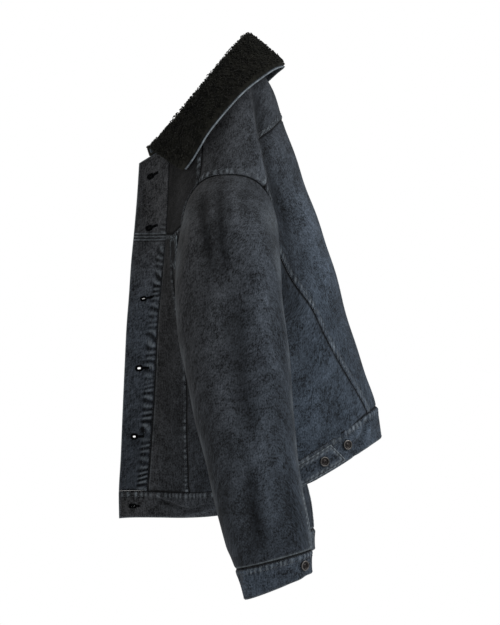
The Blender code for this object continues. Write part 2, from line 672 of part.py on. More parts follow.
def place_button(name, side, turn, fall, lift, material):
    centre = body(turn, fall, side)
    normal = outward(np.array(turn), np.array(fall), side)
    return button(name, centre + normal * lift, normal, material)


# Chest pocket flap. The sleeve covers all but its front edge. Depths are in fall, at its sides and its point.
FLAP = {"front_y": -0.1240, "back_y": -0.1130, "top_z": -0.286, "below": 0.006, "side": 0.062, "point": 0.030}
FLAP_LOW = 0.0012
FLAP_COLUMNS = 6

# Waist tab, between two falls of the waistband, and the buttons on it and behind it, as (y, z).
TAB = {"front_y": 0.0600, "end_y": 0.1330, "top": 1.012, "bottom": 1.066}
TAB_LOW = 0.0022
TAB_COLUMNS = 7
TRIM_ROWS = 3
TAB_BUTTON = (0.1097, -0.6346)
SPARE_BUTTON = (0.1465, -0.6100)


def flap_cut():
    start, top = on_side(FLAP["front_y"], FLAP["top_z"])
    end = on_side(FLAP["back_y"], FLAP["top_z"])[0]
    s = np.linspace(0, 1, FLAP_COLUMNS + 1)
    depth = FLAP["side"] + FLAP["point"] * (1 - np.abs(2 * s - 1))
    falls = top + FLAP["below"] + np.linspace(0, 1, TRIM_ROWS + 1)[:, None] * depth
    return np.stack([np.broadcast_to(start + (end - start) * s, falls.shape), falls], -1)


def tab_cut():
    front_edge, centre_back = ring("front_y", 1.0), ring("back_y", 1.0)
    ends = [turn_of((y - front_edge) / (centre_back - front_edge)) for y in (TAB["front_y"], TAB["end_y"])]
    turns = np.linspace(*ends, TAB_COLUMNS + 1)
    falls = np.linspace(TAB["top"], TAB["bottom"], TRIM_ROWS + 1)
    return np.stack(np.meshgrid(turns, falls), -1)


def build():
    clear_scene()
    denim = principled("denim", (0.050, 0.056, 0.068), 0.85)
    worn_denim = principled("worn_denim", (0.070, 0.080, 0.098), 0.85)
    pile = principled("sherpa", (0.012, 0.013, 0.011), 0.95)
    metal = principled("antique_metal", (0.050, 0.045, 0.042), 0.45, 0.9)

    for label, side in SIDES.items():
        body_wall(f"placket_{label}", placket_cut(), side, denim)
        body_wall(f"upper_front_{label}", upper_front_cut(), side, denim)
        body_wall(f"centre_front_{label}", centre_front_cut(), side, denim)
        body_wall(f"side_front_{label}", side_front_cut(), side, denim)
        body_wall(f"side_back_{label}", side_back_cut(), side, denim)
        sleeve_walls(label, side, denim)
        cuff_wall(label, side, worn_denim)
        cuff_button(label, side, metal)
        strip_on(f"pocket_flap_{label}", side, flap_cut(), FLAP_LOW, TRIM_WALL, worn_denim)
        strip_on(f"waist_tab_{label}", side, tab_cut(), TAB_LOW, TRIM_WALL, worn_denim)
        place_button(f"tab_button_{label}", side, *on_side(*TAB_BUTTON), TAB_BUTTON_LIFT, metal)
        place_button(f"spare_button_{label}", side, *on_side(*SPARE_BUTTON), SPARE_BUTTON_LIFT, metal)
    double_wall("back_yoke", yoke_cut(), denim)
    double_wall("back", back_cut(), denim)
    waistband(worn_denim)
    collar_walls(pile, denim)
    for number, fall in enumerate(BUTTON_FALLS, 1):
        lift = BAND_BUTTON_LIFT if fall > 1 else FRONT_BUTTON_LIFT
        place_button(f"front_button_{number}", -1, BUTTON_TURN, fall, lift, metal)


build()
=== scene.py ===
# %% [markdown]
# # A sherpa lined denim jacket, from frame to fabric
#
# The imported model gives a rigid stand-in for each cut piece of the jacket. This lesson builds the cloth that
# people see: thin shells with creases and puckered seams, rows of stitches, a curly pile collar and metal
# buttons. Every shell is made from the same rule as the frame, so it lands where the frame says.

# %% Load the frame
import json
import math

import bpy
import numpy as np
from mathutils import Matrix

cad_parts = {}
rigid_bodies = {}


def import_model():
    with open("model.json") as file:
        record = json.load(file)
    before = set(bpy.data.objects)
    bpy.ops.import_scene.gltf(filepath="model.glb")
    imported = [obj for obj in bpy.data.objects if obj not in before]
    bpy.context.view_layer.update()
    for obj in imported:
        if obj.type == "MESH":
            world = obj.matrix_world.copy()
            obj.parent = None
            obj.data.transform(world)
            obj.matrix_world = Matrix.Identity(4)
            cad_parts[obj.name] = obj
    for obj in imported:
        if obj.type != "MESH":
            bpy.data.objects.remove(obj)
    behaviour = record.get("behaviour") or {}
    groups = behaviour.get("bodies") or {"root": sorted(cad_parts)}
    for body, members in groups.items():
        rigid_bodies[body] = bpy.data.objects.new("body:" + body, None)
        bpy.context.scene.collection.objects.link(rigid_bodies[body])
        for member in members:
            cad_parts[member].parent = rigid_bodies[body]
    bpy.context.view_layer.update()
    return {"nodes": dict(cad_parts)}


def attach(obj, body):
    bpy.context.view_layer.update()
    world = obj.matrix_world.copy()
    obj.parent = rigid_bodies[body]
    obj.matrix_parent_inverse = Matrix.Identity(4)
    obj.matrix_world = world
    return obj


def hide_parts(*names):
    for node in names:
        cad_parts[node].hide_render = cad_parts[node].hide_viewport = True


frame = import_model()

# %% [markdown]
# ## The form
#
# A trucker jacket on its loop hangs as a flattened tube. One row of this table is one half ring of the body,
# from the front edge round the side to the centre back. A cubic curve through each column gives the rings in
# between. A lathe or a loft could not do it, because the shoulder, the flat fronts and the slanted hem all
# change at their own pace down the body.

# %% Driving sizes and the table of rings
DENIM_WALL = 0.0024
BAND_WALL = 0.0036
BAND_PROUD = 0.0008
HEM_FALL = 1.085
SETBACK_AT_HEM = 0.042
SIDES = {"left": 1, "right": -1}
RING_COLUMNS = (
    "fall", "front_y", "front_z", "back_y", "back_z", "droop", "front_x", "half_width",
    "flange", "turned", "shoulder", "shoulder_at", "reach_front", "reach_back",
)
RINGS = (
    (0.000, -0.1770, -0.1710, 0.0000, 0.0000, 0.023, 0.028, 0.066, 0.00, 0.55, 0.000, 0.60, 0.30, 0.22),
    (0.100, -0.1805, -0.2225, 0.0310, -0.0500, 0.026, 0.024, 0.092, 0.04, 0.50, 0.030, 0.60, 0.29, 0.21),
    (0.200, -0.1850, -0.2740, 0.0505, -0.1060, 0.029, 0.021, 0.112, 0.09, 0.47, 0.054, 0.60, 0.28, 0.20),
    (0.300, -0.1900, -0.3255, 0.0705, -0.1630, 0.032, 0.019, 0.125, 0.11, 0.46, 0.042, 0.58, 0.27, 0.20),
    (0.400, -0.1935, -0.3770, 0.0877, -0.2190, 0.035, 0.018, 0.132, 0.11, 0.47, 0.022, 0.54, 0.26, 0.20),
    (0.500, -0.1975, -0.4285, 0.1080, -0.2760, 0.038, 0.018, 0.136, 0.10, 0.48, 0.007, 0.52, 0.25, 0.20),
    (0.600, -0.2000, -0.4800, 0.1280, -0.3320, 0.041, 0.018, 0.136, 0.09, 0.50, 0.000, 0.50, 0.25, 0.20),
    (0.800, -0.2045, -0.5830, 0.1605, -0.4430, 0.046, 0.018, 0.128, 0.06, 0.52, 0.000, 0.50, 0.25, 0.20),
    (0.900, -0.2066, -0.6345, 0.1785, -0.4980, 0.048, 0.018, 0.121, 0.04, 0.53, 0.000, 0.50, 0.25, 0.20),
    (1.000, -0.2095, -0.6860, 0.1960, -0.5530, 0.048, 0.018, 0.112, 0.02, 0.53, 0.000, 0.50, 0.25, 0.20),
    (1.085, -0.2090, -0.7290, 0.2050, -0.6025, 0.041, 0.018, 0.110, 0.02, 0.53, 0.000, 0.50, 0.25, 0.20),
)
SIDE_AT = 0.55
DROOP_POWER = 1.15


def hermite(s, start, leaving, end, arriving):
    """A cubic from start to end, with its slopes at both."""
    first = (2 * s**3 - 3 * s**2 + 1) * start + (s**3 - 2 * s**2 + s) * leaving
    return first + (-2 * s**3 + 3 * s**2) * end + (s**3 - s**2) * arriving


def smooth(xs, ys, x):
    """A cubic curve through a table's rows."""
    xs, ys = np.asarray(xs, float), np.asarray(ys, float)
    x = np.clip(x, xs[0], xs[-1])
    k = np.clip(np.searchsorted(xs, x, side="right") - 1, 0, len(xs) - 2)
    slopes = np.gradient(ys, xs)
    step = xs[k + 1] - xs[k]
    return hermite((x - xs[k]) / step, ys[k], slopes[k] * step, ys[k + 1], slopes[k + 1] * step)


RING = {name: np.array([row[k] for row in RINGS]) for k, name in enumerate(RING_COLUMNS)}


def ring(name, fall):
    return smooth(RING["fall"], RING[name], fall)


def ease(x):
    x = np.clip(x, 0, 1)
    return x * x * (3 - 2 * x)


def lengths(points):
    return np.r_[0, np.cumsum(np.linalg.norm(np.diff(points, axis=0), axis=1))]


def body(turn, fall, side=1):
    """Points of the outer surface. Turn runs from front edge to centre back, fall from neck to hem."""
    turn, fall = np.broadcast_arrays(np.asarray(turn, float), np.asarray(fall, float))
    behind = np.clip(2 * turn - 1, 0, 1) * math.pi / 2
    share = np.where(turn < 0.5, SIDE_AT * 2 * turn, SIDE_AT + (1 - SIDE_AT) * np.sin(behind))
    width, edge_x, flange = ring("half_width", fall), ring("front_x", fall), ring("flange", fall)
    out = ease((share - flange) / (ring("turned", fall) - flange))
    x = np.where(turn < 0.5, edge_x + (width - edge_x) * out, width * np.cos(behind))
    off = share - ring("shoulder_at", fall)
    reach = np.where(off < 0, ring("reach_front", fall), ring("reach_back", fall))
    near_back = np.clip((1 - share) / 0.08, 0, 1)
    x = x + ring("shoulder", fall) * np.exp(-np.abs(off / reach) ** 3) * near_back
    start = ring("front_y", fall) + (SETBACK_AT_HEM * ease(fall / 0.45) if side < 0 else 0)
    y = start + (ring("back_y", fall) - start) * share
    droop = ring("droop", fall) * np.sin(math.pi * share) ** DROOP_POWER
    z = ring("front_z", fall) * (1 - share) + ring("back_z", fall) * share - droop
    return np.stack([side * x, y, z], -1)


def unit(v):
    return v / np.maximum(np.linalg.norm(v, axis=-1, keepdims=True), 1e-12)


def outward(turn, fall, side=1):
    """Unit normals of the body surface, away from the hollow."""
    step = 1e-3
    across = body(np.clip(turn + step, 0, 1), fall, side) - body(np.clip(turn - step, 0, 1), fall, side)
    down = body(turn, fall + step, side) - body(turn, fall - step, side)
    normal = unit(np.cross(down, across) * side)
    normal[..., 0] = np.where(np.asarray(turn) >= 1 - step, 0, normal[..., 0])
    return unit(normal)


print("hem half ring is", round(float(lengths(body(np.linspace(0, 1, 99), 1.0))[-1]), 3))

# %% [markdown]
# ## Where the seams run
#
# A pattern cutter thinks of seams as lines drawn on the body. Here each seam is named by a few places of
# the side view, which are turned into the surface's own coordinates. Both pieces that meet at a seam use the
# same samples, so no gap can open between them.

# %% Seams as curves on the surface
PLACKET_WIDTH = ((0.0, 0.050), (0.3, 0.052), (1.0, 0.046))
FRONT_YOKE_Z = -0.283
FRONT_V_SEAM = ((-0.1228, -0.283), (-0.1225, -0.350), (-0.1036, -0.485), (-0.1020, -0.603),
                (-0.0970, -0.690))
BACK_V_SEAM = ((0.0395, -0.309), (0.0664, -0.361), (0.0911, -0.398), (0.1125, -0.440), (0.1310, -0.475),
               (0.1619, -0.526), (0.1800, -0.5620))
BACK_YOKE_SEAM = ((0.0485, -0.100), (0.0300, -0.121), (0.0110, -0.140), (0.0160, -0.168), (0.0225, -0.205))
FORWARD_SEAM_Y = -0.081
SIDE_SEAM_Y = -0.020
ARMHOLE_CENTRE = (-0.034, -0.318)
ARMHOLE_HALF = (0.075, 0.122)
ARMHOLE_POWER = 2.8
UNDERARM = (ARMHOLE_CENTRE[0], ARMHOLE_CENTRE[1] - ARMHOLE_HALF[1])
FINE = 6


def turn_of(share):
    share = np.clip(share, 0, 1)
    back = 0.5 + np.arcsin(np.clip((share - SIDE_AT) / (1 - SIDE_AT), 0, 1)) / math.pi
    return np.where(share < SIDE_AT, share / SIDE_AT / 2, back)


def on_side(y, z):
    """(turn, fall) of the left half's points at places of the side view, found by halving."""
    y, z = np.broadcast_arrays(np.asarray(y, float), np.asarray(z, float))
    low, high = np.zeros(y.shape), np.full(y.shape, HEM_FALL)
    for _ in range(40):
        fall = (low + high) / 2
        start = ring("front_y", fall)
        share = np.clip((y - start) / (ring("back_y", fall) - start), 0, 1)
        height = ring("front_z", fall) * (1 - share) + ring("back_z", fall) * share
        height = height - ring("droop", fall) * np.sin(math.pi * share) ** DROOP_POWER
        low, high = np.where(height > z, fall, low), np.where(height > z, high, fall)
    return np.stack([turn_of(share), fall], -1)


def resampled(points, count):
    """count + 1 points evenly along a polyline."""
    points = np.asarray(points, float)
    reach = lengths(points)
    at = np.linspace(0, reach[-1], count + 1)
    return np.stack([np.interp(at, reach, points[:, k]) for k in range(points.shape[1])], 1)


def side_curve(places, count):
    places = np.asarray(places, float)
    knots = lengths(places)
    fine = np.linspace(0, knots[-1], 200)
    route = resampled(np.stack([smooth(knots, places[:, k], fine) for k in (0, 1)], 1), count)
    return on_side(route[:, 0], route[:, 1])


def join(*curves):
    return np.concatenate([curves[0]] + [curve[1:] for curve in curves[1:]])


def rounded(angle, power):
    c, s = np.cos(angle), np.sin(angle)
    return np.sign(c) * np.abs(c) ** (2 / power), np.sign(s) * np.abs(s) ** (2 / power)


def armhole_place(degrees):
    c, s = rounded(np.radians(degrees), ARMHOLE_POWER)
    return ARMHOLE_CENTRE[0] + ARMHOLE_HALF[0] * c, ARMHOLE_CENTRE[1] + ARMHOLE_HALF[1] * s


def armhole_angles(start, end, count):
    fine = np.linspace(start, end, 400)
    reach = lengths(np.stack(armhole_place(fine), 1))
    return np.interp(np.linspace(0, reach[-1], count + 1), reach, fine)


def straight(start, end, count):
    return np.linspace(start, end, count + 1)


def placket_seam(start, end, count):
    falls = np.linspace(start, end, count + 1)
    widths = np.interp(falls, [row[0] for row in PLACKET_WIDTH], [row[1] for row in PLACKET_WIDTH])
    return np.stack([turn_of(widths / (ring("back_y", falls) - ring("front_y", falls))), falls], 1)


FORWARD_ANGLE = 180 - math.degrees(
    math.acos(((ARMHOLE_CENTRE[0] - FORWARD_SEAM_Y) / ARMHOLE_HALF[0]) ** (ARMHOLE_POWER / 2))
)
SPANS = {
    "cap": armhole_angles(52.0, FORWARD_ANGLE, 6 * FINE)[::-1],
    "chest": armhole_angles(FORWARD_ANGLE, 164.0, 3 * FINE),
    "front": armhole_angles(164.0, 270.0, 6 * FINE),
    "back": armhole_angles(270.0, 352.0, 6 * FINE),
    "tip": armhole_angles(352.0, 364.0, 3 * FINE),
    "shoulder": armhole_angles(364.0, 412.0, 3 * FINE),
}
ARM = {name: on_side(*armhole_place(angles)) for name, angles in SPANS.items()}
YOKE_FALL = on_side(-0.138, FRONT_YOKE_Z)[1]
NECK_FORWARD = (float(turn_of((FORWARD_SEAM_Y - RINGS[0][1]) / (RINGS[0][3] - RINGS[0][1]))), 0.0)
SEAM = {
    "placket_upper": placket_seam(0, YOKE_FALL, 40),
    "placket_lower": placket_seam(YOKE_FALL, 1, 80),
    "forward": straight(NECK_FORWARD, ARM["chest"][0], 30),
    "front_v": side_curve(FRONT_V_SEAM, 90),
    "back_v": side_curve(BACK_V_SEAM, 90),
    "back_yoke": side_curve(BACK_YOKE_SEAM, 50),
    "side": side_curve((UNDERARM, (SIDE_SEAM_Y, -0.700)), 60),
}
SEAM["front_v"][-1, 1] = SEAM["back_v"][-1, 1] = SEAM["side"][-1, 1] = 1.0
SEAM["back_v"][0] = ARM["tip"][-1]
SEAM["back_yoke"][0, 0] = 1.0
SEAM["back_yoke"][-1] = ARM["shoulder"][-1]
SEAM["side"][0] = ARM["front"][-1]
CENTRE_YOKE_FALL = SEAM["back_yoke"][0, 1]
SEAM["yoke_front"] = straight(SEAM["placket_lower"][0], SEAM["front_v"][0], 20)
SEAM["yoke_side"] = straight(SEAM["front_v"][0], ARM["front"][0], 20)
HEM = [(0, 1), *[SEAM[name][-1] for name in ("placket_lower", "front_v", "side", "back_v")], (1, 1)]
print("seams:", ", ".join(SEAM))

# %% [markdown]
# ## A fine grid inside four seams
#
# A Coons patch fills four edge curves with a grid. Subdividing the frame's own facets would be quicker, but
# its lines would not crowd towards the seams, and that is where the cloth has its detail. Here the grid lines
# stand closer together near every edge.

# %% Patches of the body
def crowded(count, pull=0.6):
    u = np.linspace(0, 1, count + 1)
    return u - pull * np.sin(2 * math.pi * u) / (2 * math.pi)


def along(curve, where):
    k = np.linspace(0, 1, len(curve))
    return np.stack([np.interp(where, k, curve[:, 0]), np.interp(where, k, curve[:, 1])], 1)


def patch(left, right, top, bottom, rows, columns):
    t, s = (crowded(n) if np.ndim(n) == 0 else n for n in (rows, columns))
    left, right, top, bottom = along(left, t), along(right, t), along(top, s), along(bottom, s)
    t, s = t[:, None, None], s[None, :, None]
    across = (1 - s) * left[:, None] + s * right[:, None]
    down = (1 - t) * top[None] + t * bottom[None]
    corners_above = (1 - s) * top[0] + s * top[-1]
    corners_below = (1 - s) * bottom[0] + s * bottom[-1]
    return across + down - (1 - t) * corners_above - t * corners_below


PLACKET_EDGE = join(SEAM["placket_upper"], SEAM["placket_lower"])
PLACKET_STEPS = ((0, 0.27, 70), (0.27, 0.36, 90), (0.36, 1, 260))
PLACKET_ROWS = np.unique(np.concatenate([np.linspace(*step) for step in PLACKET_STEPS]))
CUTS = {
    "placket": patch(PLACKET_EDGE * (0, 1), PLACKET_EDGE, straight((0, 0), PLACKET_EDGE[0], 9),
                     straight(HEM[0], HEM[1], 9), PLACKET_ROWS, 34),
    "upper_front": patch(SEAM["placket_upper"], join(SEAM["forward"], ARM["chest"]),
                         straight(SEAM["placket_upper"][0], NECK_FORWARD, 40),
                         join(SEAM["yoke_front"], SEAM["yoke_side"]), 60, 50),
    "centre_front": patch(SEAM["placket_lower"], SEAM["front_v"], SEAM["yoke_front"],
                          straight(HEM[1], HEM[2], 9), 150, 28),
    "side_front": patch(SEAM["front_v"], join(ARM["front"], SEAM["side"]), SEAM["yoke_side"],
                        straight(HEM[2], HEM[3], 9), 110, 44),
    "side_back": patch(join(ARM["back"][::-1], SEAM["side"]), SEAM["back_v"], ARM["tip"],
                       straight(HEM[3], HEM[4], 9), 120, 30),
    "back": patch(join(ARM["shoulder"][::-1], SEAM["back_v"]), straight((1, CENTRE_YOKE_FALL), (1, 1), 40),
                  SEAM["back_yoke"][::-1], straight(HEM[4], HEM[5], 20), 140, 44),
    "back_yoke": patch(SEAM["forward"], straight((1, 0), (1, CENTRE_YOKE_FALL), 30),
                       straight(NECK_FORWARD, (1, 0), 60),
                       join(ARM["cap"], SEAM["back_yoke"][::-1]), 46, 84),
}
print({name: cut.shape[:2] for name, cut in CUTS.items()})

# %% [markdown]
# ## Shader maths as Python
#
# A node tree is hard to read as code. This small class wraps a socket, so that an expression such as
# `1 - mask` adds its own Math node. Every other node comes from `node`, which takes a node's type, its
# settings and the values or links of its sockets. The sky's nodes are made the same way, further down.

# %% The socket class
class Wire:
    """An output socket that takes part in arithmetic."""

    def __init__(self, nodes, socket):
        self.nodes, self.socket = nodes, socket

    def math(self, operation, a, b):
        return self.nodes.node("ShaderNodeMath", {"operation": operation}, {0: a, 1: b})

    def __add__(self, other):
        return self.math("ADD", self, other)

    def __radd__(self, other):
        return self.math("ADD", other, self)

    def __sub__(self, other):
        return self.math("SUBTRACT", self, other)

    def __rsub__(self, other):
        return self.math("SUBTRACT", other, self)

    def __mul__(self, other):
        return self.math("MULTIPLY", self, other)

    def __rmul__(self, other):
        return self.math("MULTIPLY", other, self)

    def between(self, low, high):
        """0 at low, 1 at high, held there beyond."""
        return self.nodes.node("ShaderNodeMapRange", {"interpolation_type": "SMOOTHSTEP"},
                               {0: self, 1: low, 2: high})


class Nodes:
    """A node tree, and the one way to add to it."""

    def __init__(self, tree):
        self.tree = tree

    def node(self, kind, settings=None, sockets=None, output=0):
        made = self.tree.nodes.new(kind)
        for name, value in (settings or {}).items():
            setattr(made, name, value)
        for name, value in (sockets or {}).items():
            self.plug(made.inputs[name], value)
        return Wire(self, made.outputs[output])

    def plug(self, socket, value):
        if isinstance(value, Wire):
            self.tree.links.new(value.socket, socket)
        else:
            socket.default_value = value


class Finish(Nodes):
    """A material, its shader and the nodes that feed it."""

    def __init__(self, name, **constants):
        self.material = bpy.data.materials.new(name)
        self.material.use_nodes = True
        super().__init__(self.material.node_tree)
        self.shader = self.tree.nodes["Principled BSDF"]
        self.feed(**constants)

    def feed(self, **links):
        for name, value in links.items():
            self.plug(self.shader.inputs[name.replace("_", " ")], value)

    def stored(self, name):
        """A number that the mesh stores for each point."""
        return self.node("ShaderNodeAttribute", {"attribute_name": name}, output=2)

    def cloth_place(self):
        """Place on the flat cloth in metres, across and down."""
        return self.node("ShaderNodeUVMap", {"uv_map": "cloth"})

    def scaled(self, vector, scale):
        return self.node("ShaderNodeVectorMath", {"operation": "MULTIPLY"}, {0: vector, 1: scale})

    def noise(self, vector, scale, detail=2.0, roughness=0.5):
        sockets = {"Vector": vector, "Scale": scale, "Detail": detail, "Roughness": roughness}
        return self.node("ShaderNodeTexNoise", None, sockets)

    def mix(self, factor, a, b):
        return self.node("ShaderNodeMix", {"data_type": "RGBA"}, {0: factor, 6: a, 7: b}, output=2)

    def tinted(self, colour, amount):
        """A colour times a number, through Vector Math."""
        return self.node("ShaderNodeVectorMath", {"operation": "SCALE"}, {0: colour, "Scale": amount})

    def bump(self, height, strength, distance):
        sockets = {"Height": height, "Strength": strength, "Distance": distance}
        return self.node("ShaderNodeBump", None, sockets)


print("socket class ready")

# %% [markdown]
# ## Washed charcoal denim
#
# Denim is a twill: dark warp threads cross pale weft threads, and washing brings the pale ones out unevenly,
# in streaks along the warp and wherever a ridge was rubbed. An image could show that, but a rule can be
# tuned. The mesh stores how worn each point is, with a painted highlight along the sleeves' edges, how blue,
# with painted light towards the back, and its painted shade and light, and noise does the rest.

# %% Denim
# Warm is darker than cold, so the tint paints light as well as colour where it turns blue towards the back.
WARM_INDIGO = (0.0300, 0.0298, 0.0305, 1)
COLD_INDIGO = (0.0330, 0.0430, 0.0570, 1)
PALE_WEFT = (0.300, 0.345, 0.380, 1)
TWILL_PITCH = 0.0011
STREAK_SCALE = (480, 70, 1)
FLECK_SCALE = (430, 330, 1)


def denim(name, lightness=1.0):
    made = Finish(name, Specular_IOR_Level=0.10, Sheen_Weight=0.03, Sheen_Roughness=0.5)
    place = made.cloth_place()
    streak = made.noise(made.scaled(place, STREAK_SCALE), 1.0, 3.0, 0.6).between(0.34, 0.66)
    fleck = made.noise(made.scaled(place, FLECK_SCALE), 1.0, 3.0, 0.75)
    mottle = made.noise(place, 120.0, 4.0, 0.7).between(0.36, 0.66)
    cloud = made.noise(place, 27.0, 3.0, 0.6).between(0.34, 0.68)
    wear, tint, shade = made.stored("wear"), made.stored("tint"), made.stored("shade")
    base = made.mix(tint, WARM_INDIGO, COLD_INDIGO)
    faded = 0.16 + 0.44 * streak + 0.62 * mottle + 0.60 * cloud + 4.6 * (fleck - 0.5)
    held = made.node("ShaderNodeClamp", None, {0: faded, 1: 0.12, 2: 3.0})
    # shade is the painted shade and light stored on the mesh, multiplied into the colour.
    base = made.tinted(base, held * shade * lightness)
    # The pale weft shows by the stored wear, which also holds a painted highlight along the sleeves' edges.
    rubbed = wear * (0.45 + 0.55 * mottle + 1.6 * (fleck - 0.4))
    colour = made.mix(made.node("ShaderNodeClamp", None, {0: rubbed}), base, PALE_WEFT)
    lines = {"Vector": place, "Scale": 0.31 / TWILL_PITCH, "Distortion": 0.4, "Detail": 1.0}
    twill = made.node("ShaderNodeTexWave", {"bands_direction": "DIAGONAL"}, lines, output=1)
    height = twill * 0.5 + streak * 0.5 + fleck * 2.2
    made.feed(Base_Color=colour, Roughness=0.80 + 0.12 * mottle, Normal=made.bump(height, 0.45, 0.0006))
    return made.material


DENIM = denim("denim_washed")
BAND_DENIM = denim("denim_bands", 1.10)
print("denim nodes:", len(DENIM.node_tree.nodes))

# %% [markdown]
# ## Pile and metal
#
# The lining is a short dark pile, so the inner faces of the shells carry it. The collar's own curls are real
# geometry, made later. The buttons are plated and then blackened, so only their rims shine.

# %% Lining pile, sherpa, metal, thread
def lining():
    made = Finish("lining_pile", Roughness=0.95, Specular_IOR_Level=0.1, Sheen_Weight=0.25)
    place = made.cloth_place()
    curls = made.node("ShaderNodeTexVoronoi", None, {"Vector": place, "Scale": 260.0})
    made.feed(Base_Color=made.mix(curls * 0.9, (0.012, 0.012, 0.010, 1), (0.030, 0.030, 0.026, 1)),
              Normal=made.bump(1 - curls, 0.8, 0.002))
    return made.material


def sherpa():
    made = Finish("sherpa_pile", Roughness=0.92, Specular_IOR_Level=0.12, Sheen_Weight=0.04,
                  Sheen_Roughness=0.4)
    place = made.node("ShaderNodeNewGeometry")
    tone = made.noise(place, 95.0, 3.0, 0.6).between(0.35, 0.70)
    hair = made.noise(place, 1500.0, 2.0, 0.6)
    colour = made.mix(tone, (0.0035, 0.0038, 0.0028, 1), (0.0125, 0.0125, 0.0095, 1))
    colour = made.mix(made.stored("wear"), colour, (0.034, 0.034, 0.028, 1))
    made.feed(Base_Color=colour, Normal=made.bump(hair, 0.5, 0.0006))
    return made.material


def metal():
    made = Finish("antique_metal", Metallic=0.9)
    place = made.node("ShaderNodeNewGeometry")
    tarnish = made.noise(place, 420.0, 3.0, 0.6).between(0.35, 0.68)
    colour = made.mix(tarnish, (0.010, 0.009, 0.009, 1), (0.045, 0.040, 0.038, 1))
    colour = made.mix(made.stored("wear"), colour, (0.150, 0.145, 0.140, 1))
    made.feed(Base_Color=colour, Roughness=0.30 + 0.30 * tarnish, Normal=made.bump(tarnish, 0.25, 0.0003))
    return made.material


def thread(name, colour, pale, shine=0.3):
    made = Finish(name, Roughness=0.8, Specular_IOR_Level=shine)
    twist = made.noise(made.node("ShaderNodeNewGeometry"), 380.0, 2.0, 0.5).between(0.35, 0.68)
    made.feed(Base_Color=made.mix(twist, colour, pale))
    return made.material


LINING, SHERPA, METAL = lining(), sherpa(), metal()
THREAD = thread("seam_thread", (0.018, 0.020, 0.024, 1), (0.130, 0.142, 0.158, 1))
HOLE_THREAD = thread("buttonhole_thread", (0.0015, 0.0016, 0.0018, 1), (0.008, 0.009, 0.010, 1), 0.0)
print("finishes:", len(bpy.data.materials))

# %% [markdown]
# ## Turning grids into cloth
#
# A shell has a carved outer face and a plainer inner face, joined round the rim. A Solidify modifier would
# repeat every pucker on the inside, where the lining hides it in the real jacket, so the two faces are made
# apart. Each point stores its wear, tint and shade for the shader, and its place on the flat cloth.

# %% Meshes from grids
def add_mesh(name, points, faces, materials, stored, flat=None, second=None):
    mesh = bpy.data.meshes.new(name)
    mesh.from_pydata(points.tolist(), [], faces.tolist() if hasattr(faces, "tolist") else faces)
    for material in materials:
        mesh.materials.append(material)
    if second is not None:
        mesh.polygons.foreach_set("material_index", second)
    for key, values in stored.items():
        held = mesh.attributes.new(key, "FLOAT", "POINT").data
        held.foreach_set("value", np.asarray(values, np.float32))
    if flat is not None:
        corner = np.empty(len(mesh.loops), np.int32)
        mesh.loops.foreach_get("vertex_index", corner)
        mesh.uv_layers.new(name="cloth").data.foreach_set("uv", flat[corner].astype(np.float32).ravel())
    mesh.shade_smooth()
    piece = bpy.data.objects.new(name, mesh)
    bpy.context.scene.collection.objects.link(piece)
    return piece


def grid_quads(rows, columns, start=0):
    index = start + np.arange(rows * columns).reshape(rows, columns)
    a, b, c, d = index[:-1, :-1], index[:-1, 1:], index[1:, 1:], index[1:, :-1]
    return np.stack([a, b, c, d], -1).reshape(-1, 4)


def reaches(points):
    """Distance of every grid point from each edge, measured along the cloth."""
    across = np.linalg.norm(np.diff(points, axis=1), axis=2)
    down = np.linalg.norm(np.diff(points, axis=0), axis=2)
    left = np.concatenate([np.zeros((len(points), 1)), np.cumsum(across, 1)], 1)
    top = np.concatenate([np.zeros((1, points.shape[1])), np.cumsum(down, 0)], 0)
    return {"left": left, "right": left[:, -1:] - left, "top": top, "bottom": top[-1:] - top}


def grid_normals(points, like):
    """Normals of a grid, on the side that `like` points to."""
    normal = unit(np.cross(np.gradient(points, axis=0), np.gradient(points, axis=1)))
    return normal * np.sign(np.sum(normal * like, axis=-1, keepdims=True))


def shell(name, outer, inner, stored, materials):
    """A closed shell of two grids. The inner face takes the second material."""
    rows, columns = outer.shape[:2]
    count = rows * columns
    first = grid_quads(rows, columns)
    second = grid_quads(rows, columns, count)[:, ::-1]
    index = np.arange(count).reshape(rows, columns)
    rim = np.concatenate([index[0, :], index[1:, -1], index[-1, -2::-1], index[-2:0:-1, 0]])
    following = np.roll(rim, -1)
    edge = np.stack([rim, rim + count, following + count, following], -1)
    faces = np.concatenate([first, second, edge])
    points = np.concatenate([outer.reshape(-1, 3), inner.reshape(-1, 3)])
    halves = [points[faces[:, half]] for half in ([0, 1, 2], [0, 2, 3])]
    if sum(np.einsum("ij,ij->", t[:, 0], np.cross(t[:, 1], t[:, 2])) for t in halves) < 0:
        faces = faces[:, ::-1]
    reach = reaches(outer)
    flat = np.stack([reach["left"], reach["top"]], -1).reshape(-1, 2)
    spread = {key: np.broadcast_to(value, (rows, columns)).ravel() for key, value in stored.items()}
    stored = {key: np.tile(value, 2) for key, value in spread.items()}
    slots = np.zeros(len(faces), np.int32)
    slots[len(first):len(first) + len(second)] = len(materials) - 1
    return add_mesh(name, points, faces, materials, stored, np.tile(flat, (2, 1)), slots)


CLOTH = {}
print("mesh tools ready")

# %% [markdown]
# ## Felled seams that pucker
#
# On a jacket like this the raw edges are folded into each other and sewn down with two rows, which leaves a
# raised strip beside the seam. The thread shrinks in the wash and the cloth does not, so the strip pulls up
# in little ridges, and the ridges lose their dye first. The relief is a rule of distance from the seam and
# length along it, so it follows any seam. Waves of unrelated length keep its swells uneven.

# %% Relief beside a seam
GROOVE_DEPTH = 0.0012
GROOVE_WIDTH = 0.0021
STRIP_RAMP = 0.0014
FIRST_ROW = 0.0018
ROW_WIDTH = 0.0008
ROW_DIP = 0.0007
PUCKER_TAIL = 0.004


def unevenness(length, seed):
    return 0.5 + 0.25 * np.sin(length * 61 + seed) + 0.25 * np.sin(length * 143 + 2.3 * seed)


